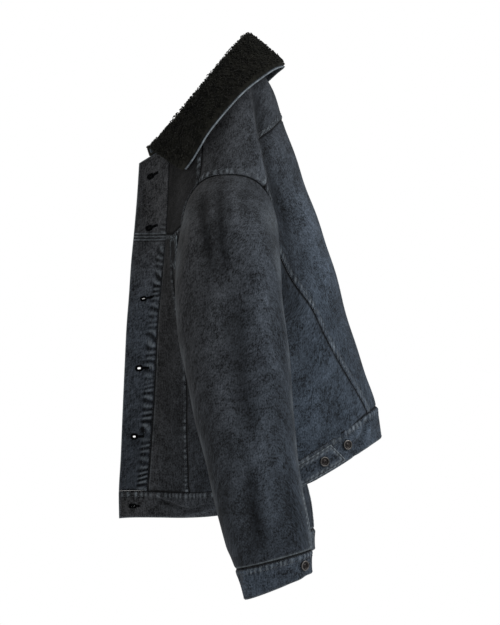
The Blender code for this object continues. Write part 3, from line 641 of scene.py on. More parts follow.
def felled(distance, length, width, height, pucker, wave, slant=0.0, seed=0.0, fade=1.0):
    """Relief and wear of a felled strip."""
    rise = ease(distance / STRIP_RAMP)
    strip = rise * ease((width + 0.0010 - distance) / STRIP_RAMP)
    after = np.exp(-np.clip((distance - width) / PUCKER_TAIL, 0, 9) ** 2) * rise
    wander = 0.42 * np.sin(length * 47 + seed) + 0.30 * np.sin(length * 131 + seed)
    phase = length / wave + wander + slant * distance / wave
    swell = (0.5 + 0.5 * np.sin(2 * math.pi * phase)) ** 1.3
    strong = 0.30 + 0.70 * unevenness(length, seed)
    relief = strip * height + after * pucker * strong * 1.2 * (swell - 0.48)
    wear = (0.8 * strip + 0.2 * after) * strong * np.clip(1.5 * swell - 0.6, 0, 1) * fade
    rows = np.exp(-((distance - FIRST_ROW) / ROW_WIDTH) ** 2)
    rows = rows + np.exp(-((distance - width + ROW_WIDTH) / ROW_WIDTH) ** 2)
    return relief - rows * strip * ROW_DIP, wear * ease((distance - 0.0012) / 0.0016)


def groove(distance):
    return -GROOVE_DEPTH * np.exp(-(distance / GROOVE_WIDTH) ** 2)


tried = felled(np.array([0.002, 0.004, 0.02]), 0.1, 0.007, 0.0006, 0.001, 0.008)[0]
print("a pucker of 1 mm every 8 mm, at 3 places:", tried)

# %% [markdown]
# ## Creases and the hang of the cloth
#
# Large folds move both faces of the shell. Each row of a table is one soft ridge or trough in the side view:
# its start, its end, how far it bows, how wide it is and how high. They are given one by one, because a fold
# that a jacket has kept from being worn is not where gravity alone would put one.

# %% Folds
BODY_FOLDS = (  # y0, z0, y1, z1, bow, width, height
    (-0.011, -0.040, 0.027, -0.230, 0.002, 0.0060, 0.0036),
    (0.002, -0.050, 0.041, -0.250, 0.002, 0.0085, -0.0064),
    (0.041, -0.230, 0.052, -0.300, 0.000, 0.0100, -0.0050),
    (0.060, -0.190, 0.118, -0.420, -0.010, 0.0180, 0.0030),
    (0.045, -0.300, 0.100, -0.520, 0.012, 0.0200, -0.0030),
    (0.020, -0.400, 0.075, -0.590, 0.008, 0.0170, 0.0026),
    (0.104, -0.585, 0.086, -0.520, 0.004, 0.0070, 0.0022),
    (0.135, -0.590, 0.124, -0.535, 0.004, 0.0060, -0.0022),
    (-0.150, -0.300, -0.168, -0.460, 0.004, 0.0100, 0.0015),
    (-0.120, -0.380, -0.132, -0.600, 0.003, 0.0090, -0.0016),
    (-0.070, -0.600, -0.110, -0.690, -0.006, 0.0090, 0.0024),
    (-0.040, -0.560, -0.055, -0.690, 0.006, 0.0110, -0.0022),
    (-0.138, -0.640, -0.150, -0.690, 0.003, 0.0060, 0.0016),
)
SLEEVE_FOLDS = (
    (-0.074, -0.225, -0.066, -0.330, 0.004, 0.0080, -0.0050),
    (-0.050, -0.215, -0.040, -0.345, 0.006, 0.0085, -0.0048),
    (-0.028, -0.215, -0.020, -0.300, 0.002, 0.0080, 0.0024),
    (-0.092, -0.240, -0.100, -0.360, -0.004, 0.0080, 0.0026),
    (-0.020, -0.400, 0.002, -0.600, 0.010, 0.0160, -0.0040),
    (-0.052, -0.360, -0.046, -0.560, 0.006, 0.0150, 0.0024),
    (0.010, -0.330, 0.034, -0.520, 0.004, 0.0110, 0.0020),
    (0.012, -0.600, 0.030, -0.740, 0.006, 0.0130, 0.0030),
    (-0.006, -0.620, 0.012, -0.760, 0.004, 0.0110, -0.0034),
    (-0.030, -0.640, -0.004, -0.745, 0.004, 0.0100, 0.0022),
    (0.052, -0.640, 0.060, -0.720, 0.002, 0.0080, -0.0024),
)


def folds(points, table, shift=(0.0, 0.0), strength=1.0):
    """Height of the listed folds at points, from where each lies in the side view."""
    y, z = points[..., 1] - shift[0], points[..., 2] - shift[1]
    height = np.zeros(y.shape)
    for y0, z0, y1, z1, bow, width, rise in table:
        run = math.hypot(y1 - y0, z1 - z0)
        ay, az = (y1 - y0) / run, (z1 - z0) / run
        t = ((y - y0) * ay + (z - z0) * az) / run
        aside = (y - y0) * az - (z - z0) * ay - bow * np.sin(math.pi * np.clip(t, 0, 1))
        ends = ease((t + 0.12) / 0.35) * ease((1.12 - t) / 0.35)
        height = height + rise * np.exp(-(aside / width) ** 2) * ends
    return height * strength


def hang(points, seed):
    """Slow unevenness of cloth that hangs."""
    x, y, z = points[..., 0], points[..., 1], points[..., 2]
    wave = np.sin(y * 47 + z * 9 + seed) * np.sin(z * 15 - y * 11 + 1.7 * seed)
    return 0.0011 * wave + 0.0006 * np.sin(y * 103 - z * 31 + x * 40 + seed)


print("folds on the body:", len(BODY_FOLDS), "and on each sleeve:", len(SLEEVE_FOLDS))

# %% [markdown]
# ## The body's panels
#
# Each panel lists its seams: which edges only sink into a groove, and which carry the felled strip. The
# strip's width, height, pucker and wave are the seam's own, because the placket is pulled up hard, while the
# back seams lie nearly flat. Hollows of the relief are stored with painted shade, fold ridges with painted
# light and fold troughs with painted shade.

# %% Panel builder
# The next four sizes set painted shade in hollows of the relief, and painted light on fold ridges and painted
# shade in fold troughs.
CAVITY_DEPTH = 0.0009
CAVITY_PAINTED_SHADE = 0.80
FOLD_HEIGHT = 0.004
FOLD_PAINTED_LIGHT_AND_SHADE = 0.42
CALM_NECK = 0.08
CALM_HEM = 0.06
HEM_LIMIT = 1.03


def tint_of(points):
    """0 at a warm black, 1 at a lighter blue. It grows lower down, and towards the back, where it paints
    light on the side the key lamp falls on.
    """
    return np.clip(0.52 + (points[..., 1] + 0.02) / 0.09 * 0.34 + (-0.42 - points[..., 2]) * 0.7, 0, 1)


def relief_of(reach, seams, free):
    """Relief and wear of all seams of one panel, from its distances to each edge."""
    relief, wear = np.zeros(reach["left"].shape), np.zeros(reach["left"].shape)
    for edge, distance in reach.items():
        if edge in free:
            relief = relief - 0.0009 * np.exp(-(distance / 0.0012) ** 2)
            wear = np.maximum(wear, 0.42 * np.exp(-(distance / 0.0013) ** 2))
            continue
        relief = relief + groove(distance)
        if edge in seams:
            length = reach["top"] if edge in ("left", "right") else reach["left"]
            lift, rub = felled(distance, length, **seams[edge])
            relief, wear = relief + lift, np.maximum(wear, rub)
    return relief, wear


def cloth_piece(name, base, normal, seams, form, free=(), wall=DENIM_WALL, shade=1.0, tint=None,
                extra=(0.0, 0.0), denim=DENIM):
    """Builds a shell from its plain outer surface and keeps what the stitches need."""
    reach = reaches(base)
    relief, wear = relief_of(reach, seams, free)
    relief, wear = relief + extra[0], np.maximum(wear, extra[1])
    # Painted shade: hollows of the relief are darkened, fold ridges painted lighter and fold troughs darker.
    cavity = np.clip(-relief / CAVITY_DEPTH, 0, 1)
    shade = shade * (1 - CAVITY_PAINTED_SHADE * cavity)
    shade = shade * (1 + FOLD_PAINTED_LIGHT_AND_SHADE * np.clip(form / FOLD_HEIGHT, -1, 1))
    carried = base + normal * form[..., None]
    outer = carried + normal * relief[..., None]
    inner = carried - normal * wall
    stored = {"wear": wear, "tint": tint_of(base) if tint is None else tint, "shade": shade}
    piece = shell(name, outer, inner, stored, (denim, LINING))
    CLOTH[name] = {"outer": outer, "normal": normal, "reach": reach, "piece": piece}
    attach(piece, "root")
    return piece


def calm(fall):
    """0 at the neck and the hem, where seams hold the cloth, and 1 between."""
    return ease(fall / CALM_NECK) * ease((HEM_LIMIT - fall) / CALM_HEM)


def body_panel(name, cut, side, seams, **options):
    base = body(cut[..., 0], cut[..., 1], side)
    normal = outward(cut[..., 0], cut[..., 1], side)
    shift, strength = ((0.0, 0.0), 1.0) if side > 0 else ((0.006, -0.012), 0.85)
    form = folds(base, BODY_FOLDS, shift, strength) + hang(base, 1.0 + side)
    piece = cloth_piece(name, base, normal, seams, form * calm(cut[..., 1]), **options)
    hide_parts(name)


def doubled(function, cut):
    """Both halves of a piece that crosses the centre back."""
    left, right = (function(cut[..., 0], cut[..., 1], side) for side in (1, -1))
    return np.concatenate([left, right[:, -2::-1]], axis=1)


def double_panel(name, cut, seams, shade):
    base, normal = doubled(body, cut), doubled(outward, cut)
    fall = np.concatenate([cut[..., 1], cut[:, -2::-1, 1]], axis=1)
    right = ease((0.01 - base[..., 0]) / 0.02)
    form = folds(base, BODY_FOLDS) * (1 - right) + folds(base, BODY_FOLDS, (0.005, -0.014), 0.9) * right
    form = (form + hang(base, 2.0)) * calm(fall)
    piece = cloth_piece(name, base, normal, seams, form, shade=shade)
    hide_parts(name)


print("panel tools ready")

# %% [markdown]
# ## Fronts, sides, back and yoke
#
# The placket is the busiest piece: it is folded double, so its seam pulls up in slanted puckers all the way
# down, except at the top, where the collar's weight smooths it. The yoke seam crosses it as well.

# %% Build the panels
FLAT_FELL = {"width": 0.0070, "height": 0.0006, "pucker": 0.0007, "wave": 0.0082, "fade": 0.62}
BACK_FELL = {"width": 0.0105, "height": 0.0007, "pucker": 0.0008, "wave": 0.0078, "fade": 0.55}
YOKE_FELL = {"width": 0.0100, "height": 0.0009, "pucker": 0.0007, "wave": 0.0098, "fade": 0.50}
PLACKET_FELL = {"width": 0.0150, "height": 0.0004, "pucker": 0.0032, "wave": 0.0112, "slant": 0.70}
BAND_RIDGES = (0.0, -0.0048, -0.0096)


def yoke_band(base, across):
    """The yoke seam where it runs on over the placket, as three ridges with the rows of thread between."""
    z = base[..., 2] - (FRONT_YOKE_Z + 0.002)
    relief, wear = np.zeros(z.shape), np.zeros(z.shape)
    for level in BAND_RIDGES:
        line = np.exp(-((z - level) / 0.0010) ** 2)
        dip = np.exp(-((z - level + 0.0024) / 0.0010) ** 2)
        relief, wear = relief + 0.0009 * line - 0.0007 * dip, wear + 0.62 * line * across
    return relief, wear


# The shade values below are painted light and shade: the upper fronts dark with the sleeve's shadow, the
# fronts a little dark, and the placket and the back pieces lighter.
for label, side in SIDES.items():
    cut = CUTS["placket"]
    base = body(cut[..., 0], cut[..., 1], side)
    hard = ease((cut[..., 1] - 0.18) / 0.12)
    reach = reaches(base)
    lift, rub = felled(reach["right"], reach["top"], **PLACKET_FELL, seed=side)
    band = yoke_band(base, 0.45 + 0.55 * ease((0.016 - reach["left"]) / 0.008))
    extra = (lift * (0.18 + 0.82 * hard) + band[0], np.maximum(rub * hard * 0.50, band[1]))
    body_panel(f"placket_{label}", cut, side, {}, free=("left", "top"), extra=extra,
               shade=1.80 - 0.80 * ease((cut[..., 1] - 0.60) / 0.3),
               tint=0.10 + 0.50 * ease((cut[..., 1] - 0.15) / 0.4))
    seams = {"right": dict(FLAT_FELL, seed=3.0)}
    body_panel(f"upper_front_{label}", CUTS["upper_front"], side, seams, shade=0.55)
    cut = CUTS["centre_front"]
    reach = reaches(body(cut[..., 0], cut[..., 1], side))
    beside = np.exp(-((reach["left"] - 0.0032) / 0.0011) ** 2) * (0.7 + 0.3 * np.sin(reach["top"] * 260))
    seams = {"top": dict(FLAT_FELL, pucker=0.0004), "right": dict(FLAT_FELL, width=0.0055, seed=1.0)}
    body_panel(f"centre_front_{label}", cut, side, seams, shade=0.92, extra=(0.0005 * beside, 0.20 * beside))
    seams = {"top": dict(FLAT_FELL, pucker=0.0004), "right": dict(FLAT_FELL, seed=5.0)}
    body_panel(f"side_front_{label}", CUTS["side_front"], side, seams, shade=0.90)
    body_panel(f"side_back_{label}", CUTS["side_back"], side, {}, shade=1.08)
seams = {"left": dict(BACK_FELL, seed=2.0), "right": dict(BACK_FELL, seed=2.6)}
double_panel("back", CUTS["back"], seams, 1.12)
double_panel("back_yoke", CUTS["back_yoke"], {"bottom": YOKE_FELL}, 1.10)
faces = sum(len(held["piece"].data.polygons) for held in CLOTH.values())
print("body pieces:", len(CLOTH), "triangles:", faces * 2)

# %% [markdown]
# ## Sleeves
#
# A sleeve leaves the armhole sideways and turns down under its own weight. A Hermite curve for every angle
# of the armhole gives that bend, and rings from a table carry on to the cuff. A cloth simulation could hang
# it, but then the folds would be new ones, and not the soft troughs that this sleeve has.

# %% Sleeve rings
SLEEVE = (  # how far down, y, z, x, half depth, half width, rise, lean
    (0.24, -0.0335, -0.400, 0.192, 0.0800, 0.053, 0.086, 0.02),
    (0.34, -0.0270, -0.447, 0.195, 0.0805, 0.054, 0.066, 0.05),
    (0.46, -0.0180, -0.513, 0.196, 0.0775, 0.054, 0.044, 0.08),
    (0.60, -0.0075, -0.585, 0.194, 0.0730, 0.052, 0.026, 0.12),
    (0.76, 0.0055, -0.665, 0.190, 0.0655, 0.048, 0.012, 0.16),
    (0.90, 0.0215, -0.735, 0.186, 0.0630, 0.044, 0.005, 0.21),
    (1.00, 0.0320, -0.776, 0.184, 0.0575, 0.041, 0.000, 0.26),
)
CUFF_RINGS = (
    (1.00, 0.0330, -0.7765, 0.184, 0.0560, 0.0425, 0.000, 0.26),
    (1.07, 0.0400, -0.8170, 0.183, 0.0500, 0.0400, 0.000, 0.40),
)
SLEEVE_FELL = {"width": 0.0210, "height": 0.0007, "pucker": 0.0011, "wave": 0.0098, "slant": 0.5}
SLEEVE_ROUND = 2.15
RIGHT_SLEEVE_SWING = 0.0130
CAP_END = SLEEVE[0][0]
ARM_LOOP = join(SPANS["cap"][::-1], *[SPANS[k] for k in ("chest", "front", "back", "tip", "shoulder")])
SLEEVE_FRONT = (6 + 3 + 2) * FINE
SLEEVE_BACK = (6 + 3 + 12) * FINE


def tube_ring(row, angles, side, inset=0.0):
    y, z, x, half_depth, half_width, rise, lean = row
    c, s = rounded(angles, SLEEVE_ROUND)
    points = np.stack([x + (half_width - inset) * s, y + (half_depth - inset) * c, z + rise * s], -1)
    points[:, 2] += lean * (points[:, 1] - y)
    if side < 0:
        points[:, 1] += RIGHT_SLEEVE_SWING * ease((-0.40 - points[:, 2]) / 0.30)
    points[:, 0] *= side
    return points


def table_row(at, table):
    return [float(smooth([row[0] for row in table], [row[k] for row in table], at)) for k in range(1, 8)]


def sleeve_surface(side):
    angles = np.radians(ARM_LOOP)
    uv = on_side(*armhole_place(ARM_LOOP))
    start = body(uv[:, 0], uv[:, 1], side)
    up = np.sin(angles)
    leave = np.stack([side * (0.60 + 0.22 * up), 0.16 * np.cos(angles), 0.18 * up - 0.74], -1)
    first = tube_ring(SLEEVE[0][1:], angles, side)
    second = tube_ring(table_row(CAP_END + 0.02, SLEEVE), angles, side)
    down = unit(second - first)
    reach = np.linalg.norm(first - start, axis=-1, keepdims=True)
    rings = []
    for at in crowded(168, 0.35):
        if at >= CAP_END:
            rings.append(tube_ring(table_row(at, SLEEVE), angles, side))
            continue
        rings.append(hermite(at / CAP_END, start, leave * reach, first, down * reach))
    return np.array(rings)


def loop_normals(points, centre):
    """Normals of a tube of rings whose last column repeats the first."""
    wide = np.concatenate([points[:, -2:-1], points, points[:, 1:2]], axis=1)
    return grid_normals(wide, wide - centre)[:, 1:-1]


def top_part(grid):
    return np.concatenate([grid[:, SLEEVE_BACK:-1], grid[:, :SLEEVE_FRONT + 1]], axis=1)


def under_part(grid):
    return grid[:, SLEEVE_FRONT:SLEEVE_BACK + 1]


for label, side in SIDES.items():
    points = sleeve_surface(side)
    centre = points.mean(axis=1, keepdims=True)
    normal = loop_normals(points, centre)
    aside, height = normal[..., 0] * side, points[..., 2]
    shift = (0.0, 0.0) if side > 0 else (0.007, -0.02)
    form = folds(points, SLEEVE_FOLDS, shift) * (0.35 + 0.65 * ease(0.35 + aside))
    form = (form + hang(points, 3.0 + side)) * ease((height + 0.775) / 0.02)
    form = form * ease(reaches(points)["top"] / 0.02) * 1.25
    # The sleeve's tint grows lower down and towards its back, where the lighter blue paints light on the
    # lamp's side.
    tint = np.clip(0.50 + (points[..., 1] - centre[..., 1]) / 0.08 * 0.30 + (-0.45 - height) * 0.75, 0, 1)
    low = ease((-0.62 - height) / 0.08)
    # A pale band where the sleeve turns sideways, at its front and back edges: a painted highlight, and wear
    # of the creases there.
    edge_highlight_and_wear = 0.15 * np.exp(-((aside - 0.22) / 0.20) ** 2) * (0.6 + 0.4 * np.sin(height * 90))
    edge_highlight_and_wear = edge_highlight_and_wear * ease((-0.22 - height) / 0.05)
    for kind, part in (("top_sleeve", top_part), ("under_sleeve", under_part)):
        base = part(points)
        reach = reaches(base)
        hem = 0.42 * np.exp(-((reach["bottom"] - 0.0022) / 0.0010) ** 2)
        relief, rub = 0.0006 * hem, np.maximum(part(edge_highlight_and_wear), hem)
        if part is top_part:
            relief, worn = felled(reach["left"], reach["top"], **SLEEVE_FELL, seed=4.0 + side)
            relief = relief * (0.35 + 0.65 * part(low))
            rub = np.maximum(worn * (0.10 + 0.75 * part(low)), rub)
        piece = cloth_piece(f"{kind}_{label}", base, part(normal), {}, part(form), tint=part(tint),
                            shade=1.0 - 0.26 * part(low), extra=(relief, rub))
        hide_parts(f"{kind}_{label}")
print("sleeve length", round(float(reaches(points)["top"][-1].mean()), 3))

# %% [markdown]
# ## Cuffs and waistband
#
# Both are bands of doubled cloth. The band's top seam is sewn down with one row about 9 mm below the other,
# and the strip between them puckers most of all. Pale bars come from the ridges that rub against tables.

# %% Cuffs
CUFF_SLIT = 342.0
CUFF_SLIT_WIDTH = 0.8
BAND_FELL = {"width": 0.0088, "height": 0.0006, "pucker": 0.0012, "wave": 0.0088, "fade": 0.55}
CUFF_TOP = 1.0005
CUFF_BOTTOM = 1.07
PINCH_HEIGHT = -0.802

for label, side in SIDES.items():
    angles = np.radians(np.linspace(CUFF_SLIT - 360 + CUFF_SLIT_WIDTH, CUFF_SLIT, 150))
    rows = CUFF_TOP + (CUFF_BOTTOM - CUFF_TOP) * crowded(30, 0.5)
    points = np.array([tube_ring(table_row(at, CUFF_RINGS), angles, side, -BAND_PROUD) for at in rows])
    normal = grid_normals(points, points - points.mean(axis=1, keepdims=True))
    pinch = 0.0016 * np.exp(-((points[..., 2] - PINCH_HEIGHT) / 0.012) ** 2)
    pinch = pinch * np.sin(np.degrees(angles) / 7.0)[None]
    piece = cloth_piece(f"cuff_{label}", points, normal, {"top": dict(BAND_FELL, seed=side)},
                        pinch + hang(points, 6.0), free=("left", "right", "bottom"), wall=BAND_WALL,
                        tint=0.92, denim=BAND_DENIM)
    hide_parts(f"cuff_{label}")
print("cuff girth", round(float(reaches(points)["left"][0, -1]), 3))

# %% [markdown]
# The waistband is crushed where the spare button pulls on it, so it has a table of small pulls of its own.
# They cross the band's seam at a slant, in pairs of a ridge and a trough.

# %% Waistband
BAND_TOP = 1.0004
BAND_COLUMNS = (26, 34, 46, 60, 70)
turns = [straight(a[0], b[0], n)[:-1] for a, b, n in zip(HEM, HEM[1:], BAND_COLUMNS)]
falls = BAND_TOP + (HEM_FALL - BAND_TOP) * crowded(26, 0.5)
cut = np.stack(np.meshgrid(np.concatenate(turns + [[1.0]]), falls), -1)
base = doubled(body, cut) + doubled(outward, cut) * BAND_PROUD
reach = reaches(base)
PULLS = (
    (0.122, -0.578, 0.146, -0.600, 0.003, 0.0034, -0.0040),
    (0.136, -0.580, 0.152, -0.603, 0.003, 0.0030, 0.0034),
    (0.147, -0.577, 0.150, -0.601, -0.001, 0.0026, -0.0034),
    (0.168, -0.578, 0.154, -0.604, -0.003, 0.0032, 0.0034),
    (0.178, -0.572, 0.160, -0.612, -0.005, 0.0034, -0.0034),
    (0.186, -0.580, 0.178, -0.616, 0.003, 0.0042, 0.0026),
    (0.150, -0.620, 0.172, -0.632, 0.002, 0.0034, -0.0026),
    (0.080, -0.640, 0.088, -0.674, 0.002, 0.0050, -0.0055),
    (0.092, -0.634, 0.098, -0.664, 0.002, 0.0040, 0.0030),
    (-0.155, -0.688, -0.100, -0.706, 0.002, 0.0024, 0.0030),
    (-0.150, -0.694, -0.100, -0.712, 0.002, 0.0024, -0.0026),
    (-0.112, -0.722, -0.050, -0.706, 0.002, 0.0028, 0.0030),
    (-0.105, -0.714, -0.060, -0.700, 0.002, 0.0026, -0.0024),
)
# The waistband's tint grows towards the back, where the lighter blue paints light, and its shade paints it
# lighter overall.
piece = cloth_piece("waistband", base, doubled(outward, cut), {"top": dict(BAND_FELL, seed=7.0)},
                    folds(base, PULLS) + hang(base, 8.0) * 0.8, free=("left", "right", "bottom"),
                    wall=BAND_WALL, tint=np.clip(0.45 + (base[..., 1] + 0.05) * 2.4, 0.05, 1), shade=1.12,
                    denim=BAND_DENIM)
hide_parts("waistband")
print("waistband:", [round(float(length), 3) for length in (reach["left"][0, -1], reach["top"][-1, 0])])

# %% [markdown]
# ## The collar's section
#
# The collar stands up from the neck seam, rolls over and falls to a free edge. A cubic curve through eight
# control points gives one section of it, and a table places the edge for sections all round the neck. It is
# one long shape that changes slowly, so sweeping a section suits it better than bending a flat piece would.

# %% Collar surface
COLLAR_COLUMNS = ("q", "stand", "edge_x", "edge_y", "edge_z", "pile")
COLLAR = (
    (0.000, 0.030, 0.0000, 0.0500, -0.0150, 1.00),
    (0.125, 0.030, 0.0440, 0.0380, -0.0215, 1.00),
    (0.250, 0.029, 0.0760, 0.0190, -0.0360, 1.00),
    (0.375, 0.028, 0.1015, -0.0140, -0.0640, 1.00),
    (0.500, 0.026, 0.1140, -0.0460, -0.1000, 1.00),
    (0.625, 0.024, 0.1200, -0.0690, -0.1300, 1.00),
    (0.750, 0.021, 0.1210, -0.0820, -0.1520, 0.95),
    (0.875, 0.017, 0.1180, -0.0930, -0.1700, 0.85),
    (1.000, 0.013, 0.1080, -0.1060, -0.1870, 0.70),
)
COLLAR_TABLE = {name: np.array([row[k] for row in COLLAR]) for k, name in enumerate(COLLAR_COLUMNS)}
COLLAR_FRONT_SHARE = 0.093
PILE_WALL = 0.0070
COLLAR_SPAN = 90
COLLAR_DEPTH = 64


def collar_row(q):
    """The table at q, which mirrors itself at the centre back."""
    qs, found = COLLAR_TABLE["q"], {}
    for name in COLLAR_COLUMNS[1:]:
        values = COLLAR_TABLE[name]
        mirrored = -values[:0:-1] if name == "edge_x" else values[:0:-1]
        found[name] = float(smooth(np.r_[-qs[:0:-1], qs], np.r_[mirrored, values], q))
    return found


def collar_section(q, side, steps):
    get = collar_row(q)
    neck = body(1 - q * (1 - float(turn_of(COLLAR_FRONT_SHARE))), 0.0, side)
    lean = math.sin(math.pi * q) ** 2
    inward = 0.20 * math.sin(math.pi / 2 * min(q / 0.4, 1))
    up = np.array([-side * inward, -0.25 - 0.45 * lean, 1 - 0.28 * lean]) * get["stand"]
    fold = neck + up
    edge = np.array([side * get["edge_x"], get["edge_y"], get["edge_z"]])
    fall = edge - fold
    controls = np.array([
        neck + up * 0.05,
        neck + up * 0.40 - fall * 0.01,
        neck + up * 0.78 - fall * 0.01,
        fold + up * 0.10 + fall * 0.05,
        fold + up * 0.12 + fall * 0.16,
        fold + up * 0.12 + fall * 0.38,
        fold + up * 0.07 + fall * 0.68,
        edge,
    ])
    knots = lengths(controls)
    at = np.interp(steps, range(len(knots)), knots)
    return np.stack([smooth(knots, controls[:, k], at) for k in range(3)], 1)


collar_steps = np.linspace(0, 7, COLLAR_DEPTH + 1)
collar_qs = np.concatenate([np.linspace(1, 0, COLLAR_SPAN + 1), np.linspace(0, 1, COLLAR_SPAN + 1)[1:]])
collar_sides = np.where(np.arange(len(collar_qs)) <= COLLAR_SPAN, 1, -1)
collar = np.stack([collar_section(q, side, collar_steps) for q, side in zip(collar_qs, collar_sides)], 1)
collar_normal = unit(np.cross(np.gradient(collar, axis=0), np.gradient(collar, axis=1)))
if collar_normal[-6, COLLAR_SPAN, 2] < 0:
    collar_normal = -collar_normal
pile_share = np.array([collar_row(q)["pile"] for q in collar_qs])[None]
pile_share = pile_share * np.interp(collar_steps, (0, 2, 6.5, 7), (0.4, 1, 1, 0.8))[:, None]
print("collar is", round(float(lengths(collar[-1])[-1]), 3), "round its edge")

# %% [markdown]
# ## Curls
#
# Sherpa is a knit whose pile is curled into small knots. Particles of hair would be finer than needed. A few
# thousand short curled tubes, thrown on the surface and kept one curl's width apart, give the same knobbly
# edge against the light. They stand on a bumpy body of the same pile, which closes the gaps between them.

# %% Pile body and curls
CURL_SPACING = 0.0036
CURL_RADIUS = 0.0017
CURL_THREAD = 0.00085
CURL_TURN = 5.0
CURL_STEPS = 8
CURL_TRIES = 16000
NEIGHBOURS = [(dx, dy, dz) for dx in (-1, 0, 1) for dy in (-1, 0, 1) for dz in (-1, 0, 1)]
random = np.random.default_rng(11)


def knobs(points, size, seed):
    """Cell-like bumps, from crossed waves of unrelated direction."""
    total = np.zeros(points.shape[:-1])
    waves = np.random.default_rng(seed)
    for _ in range(7):
        aim = unit(waves.normal(size=3))
        total = total + np.sin(points @ aim * 2 * math.pi / size + waves.uniform(0, 6.3))
    return total / 3.5


pile_height = PILE_WALL * pile_share - 0.0022 + 0.0006 * knobs(collar, 0.0075, 5)
pile_outer = collar + collar_normal * pile_height[..., None]
# The pile body is paler in patches, more so towards the collar's front ends.
pile_tone = np.clip(0.22 + 0.45 * knobs(collar, 0.030, 9), 0, 1) * ease((collar_qs[None] - 0.5) / 0.45)
pile_piece = shell("collar", pile_outer, collar, {"wear": pile_tone * 0.8}, (SHERPA,))
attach(pile_piece, "root")
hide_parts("collar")


def scattered(points, normals, low, high, spacing):
    """Places at least a spacing apart on a grid surface, between two rows."""
    rows = random.uniform(low, high, CURL_TRIES)
    columns = random.uniform(0.4, points.shape[1] - 1.4, CURL_TRIES)
    i, j = rows.astype(int), columns.astype(int)
    a, b = (rows - i)[:, None], (columns - j)[:, None]

    def between(grid):
        above = (1 - b) * grid[i, j] + b * grid[i, j + 1]
        return (1 - a) * above + a * ((1 - b) * grid[i + 1, j] + b * grid[i + 1, j + 1])

    places, facing = between(points), between(normals)
    cells, kept = {}, []
    for k, p in enumerate(places):
        key = tuple(np.floor(p / spacing).astype(int))
        around = [(key[0] + dx, key[1] + dy, key[2] + dz) for dx, dy, dz in NEIGHBOURS]
        near = [q for cell in around for q in cells.get(cell, ())]
        if all(((places[q] - p) ** 2).sum() > spacing**2 for q in near):
            cells.setdefault(key, []).append(k)
            kept.append(k)
    return places[kept], unit(facing[kept])


def curls(centres, normals):
    """One short curled tube at each place, three sided."""
    count = len(centres)
    aside = unit(np.cross(normals, random.normal(size=(count, 3))))
    other = np.cross(normals, aside)
    tip = random.uniform(-0.9, 0.9, (count, 1))
    across = other * np.cos(tip) + normals * np.sin(tip)
    size = CURL_RADIUS * random.uniform(0.75, 1.25, (count, 1, 1))
    angle = np.linspace(0, CURL_TURN, CURL_STEPS + 1)[None, :, None] + random.uniform(0, 6.3, (count, 1, 1))
    height = 0.0004 + 0.0009 * random.uniform(0, 1, (count, 1, 1))
    middle = centres[:, None] + normals[:, None] * height
    radial = aside[:, None] * np.cos(angle) + across[:, None] * np.sin(angle)
    path = middle + radial * size
    binormal = np.cross(aside, across)[:, None]
    thick = CURL_THREAD * np.interp(np.linspace(0, 1, CURL_STEPS + 1), (0, 0.2, 0.8, 1), (0.55, 1, 1, 0.45))
    points = np.empty((count, CURL_STEPS + 1, 3, 3))
    for k in range(3):
        turn = 2 * math.pi * k / 3
        points[:, :, k] = path + (radial * math.cos(turn) + binormal * math.sin(turn)) * thick[None, :, None]
    ring_index = np.arange((CURL_STEPS + 1) * 3).reshape(-1, 3)
    a, b = ring_index[:-1], ring_index[1:]
    sides = np.stack([a, np.roll(a, -1, 1), np.roll(b, -1, 1), b], -1).reshape(-1, 4)
    offset = (np.arange(count) * (CURL_STEPS + 1) * 3)[:, None, None]
    faces = (sides[None] + offset).reshape(-1, 4)
    tone = np.repeat(random.uniform(0, 1, count) ** 2, (CURL_STEPS + 1) * 3)
    return points.reshape(-1, 3), faces, tone


grown = collar + collar_normal * (PILE_WALL * pile_share[..., None] - 0.0018)
centres, normals = scattered(grown, collar_normal, 15, COLLAR_DEPTH - 1.6, CURL_SPACING)
points, faces, tone = curls(centres, normals)
# Curls are paler at random, and paler still towards the collar's lower front tips.
bright = np.repeat(np.clip(ease((-0.10 - centres[:, 2]) / 0.09), 0, 1), (CURL_STEPS + 1) * 3)
curl_piece = add_mesh("collar_curls", points, faces, (SHERPA,), {"wear": tone * (0.16 + 0.9 * bright)})
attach(curl_piece, "root")
print("curls:", len(centres), "triangles:", 2 * len(faces))

# %% [markdown]
# ## The under collar
#
# The collar's other face is the same denim as the body. Its edge stands a little past the pile, and is worn
# pale, so from outside it draws a thin light line along the leaf.

# %% Under collar
UNDER_WALL = 0.0018
EDGE_PAST = 0.0016
under = collar - collar_normal * 0.0003
past = unit(under[-1] - under[-4]) * EDGE_PAST
under = np.concatenate([under, under[-1:] + past, under[-1:] + past * 1.8])[4:, 2:-2]
under_normal = np.concatenate([collar_normal, collar_normal[-1:], collar_normal[-1:]])[4:, 2:-2]
reach = reaches(under)
rub = np.maximum(np.exp(-(reach["bottom"] / 0.0016) ** 2),
                 np.exp(-(np.minimum(reach["left"], reach["right"]) / 0.0012) ** 2))
lift = under_normal * (0.0008 * np.exp(-(reach["bottom"] / 0.0012) ** 2))[..., None]
under_piece = shell("under_collar", under + lift, under - under_normal * UNDER_WALL,
                    {"wear": rub * 0.62, "tint": 0.7, "shade": 1.0}, (DENIM,))
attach(under_piece, "root")
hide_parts("under_collar")
print("under collar edge", round(float(reach["left"][-1, -1]), 3))

# %% [markdown]
# ## Flaps and tabs
#
# The chest flap shows only its front edge past the sleeve. The waist tab is a short strap of doubled denim
# with a row of stitches all round, and its edges are worn to the white weft.

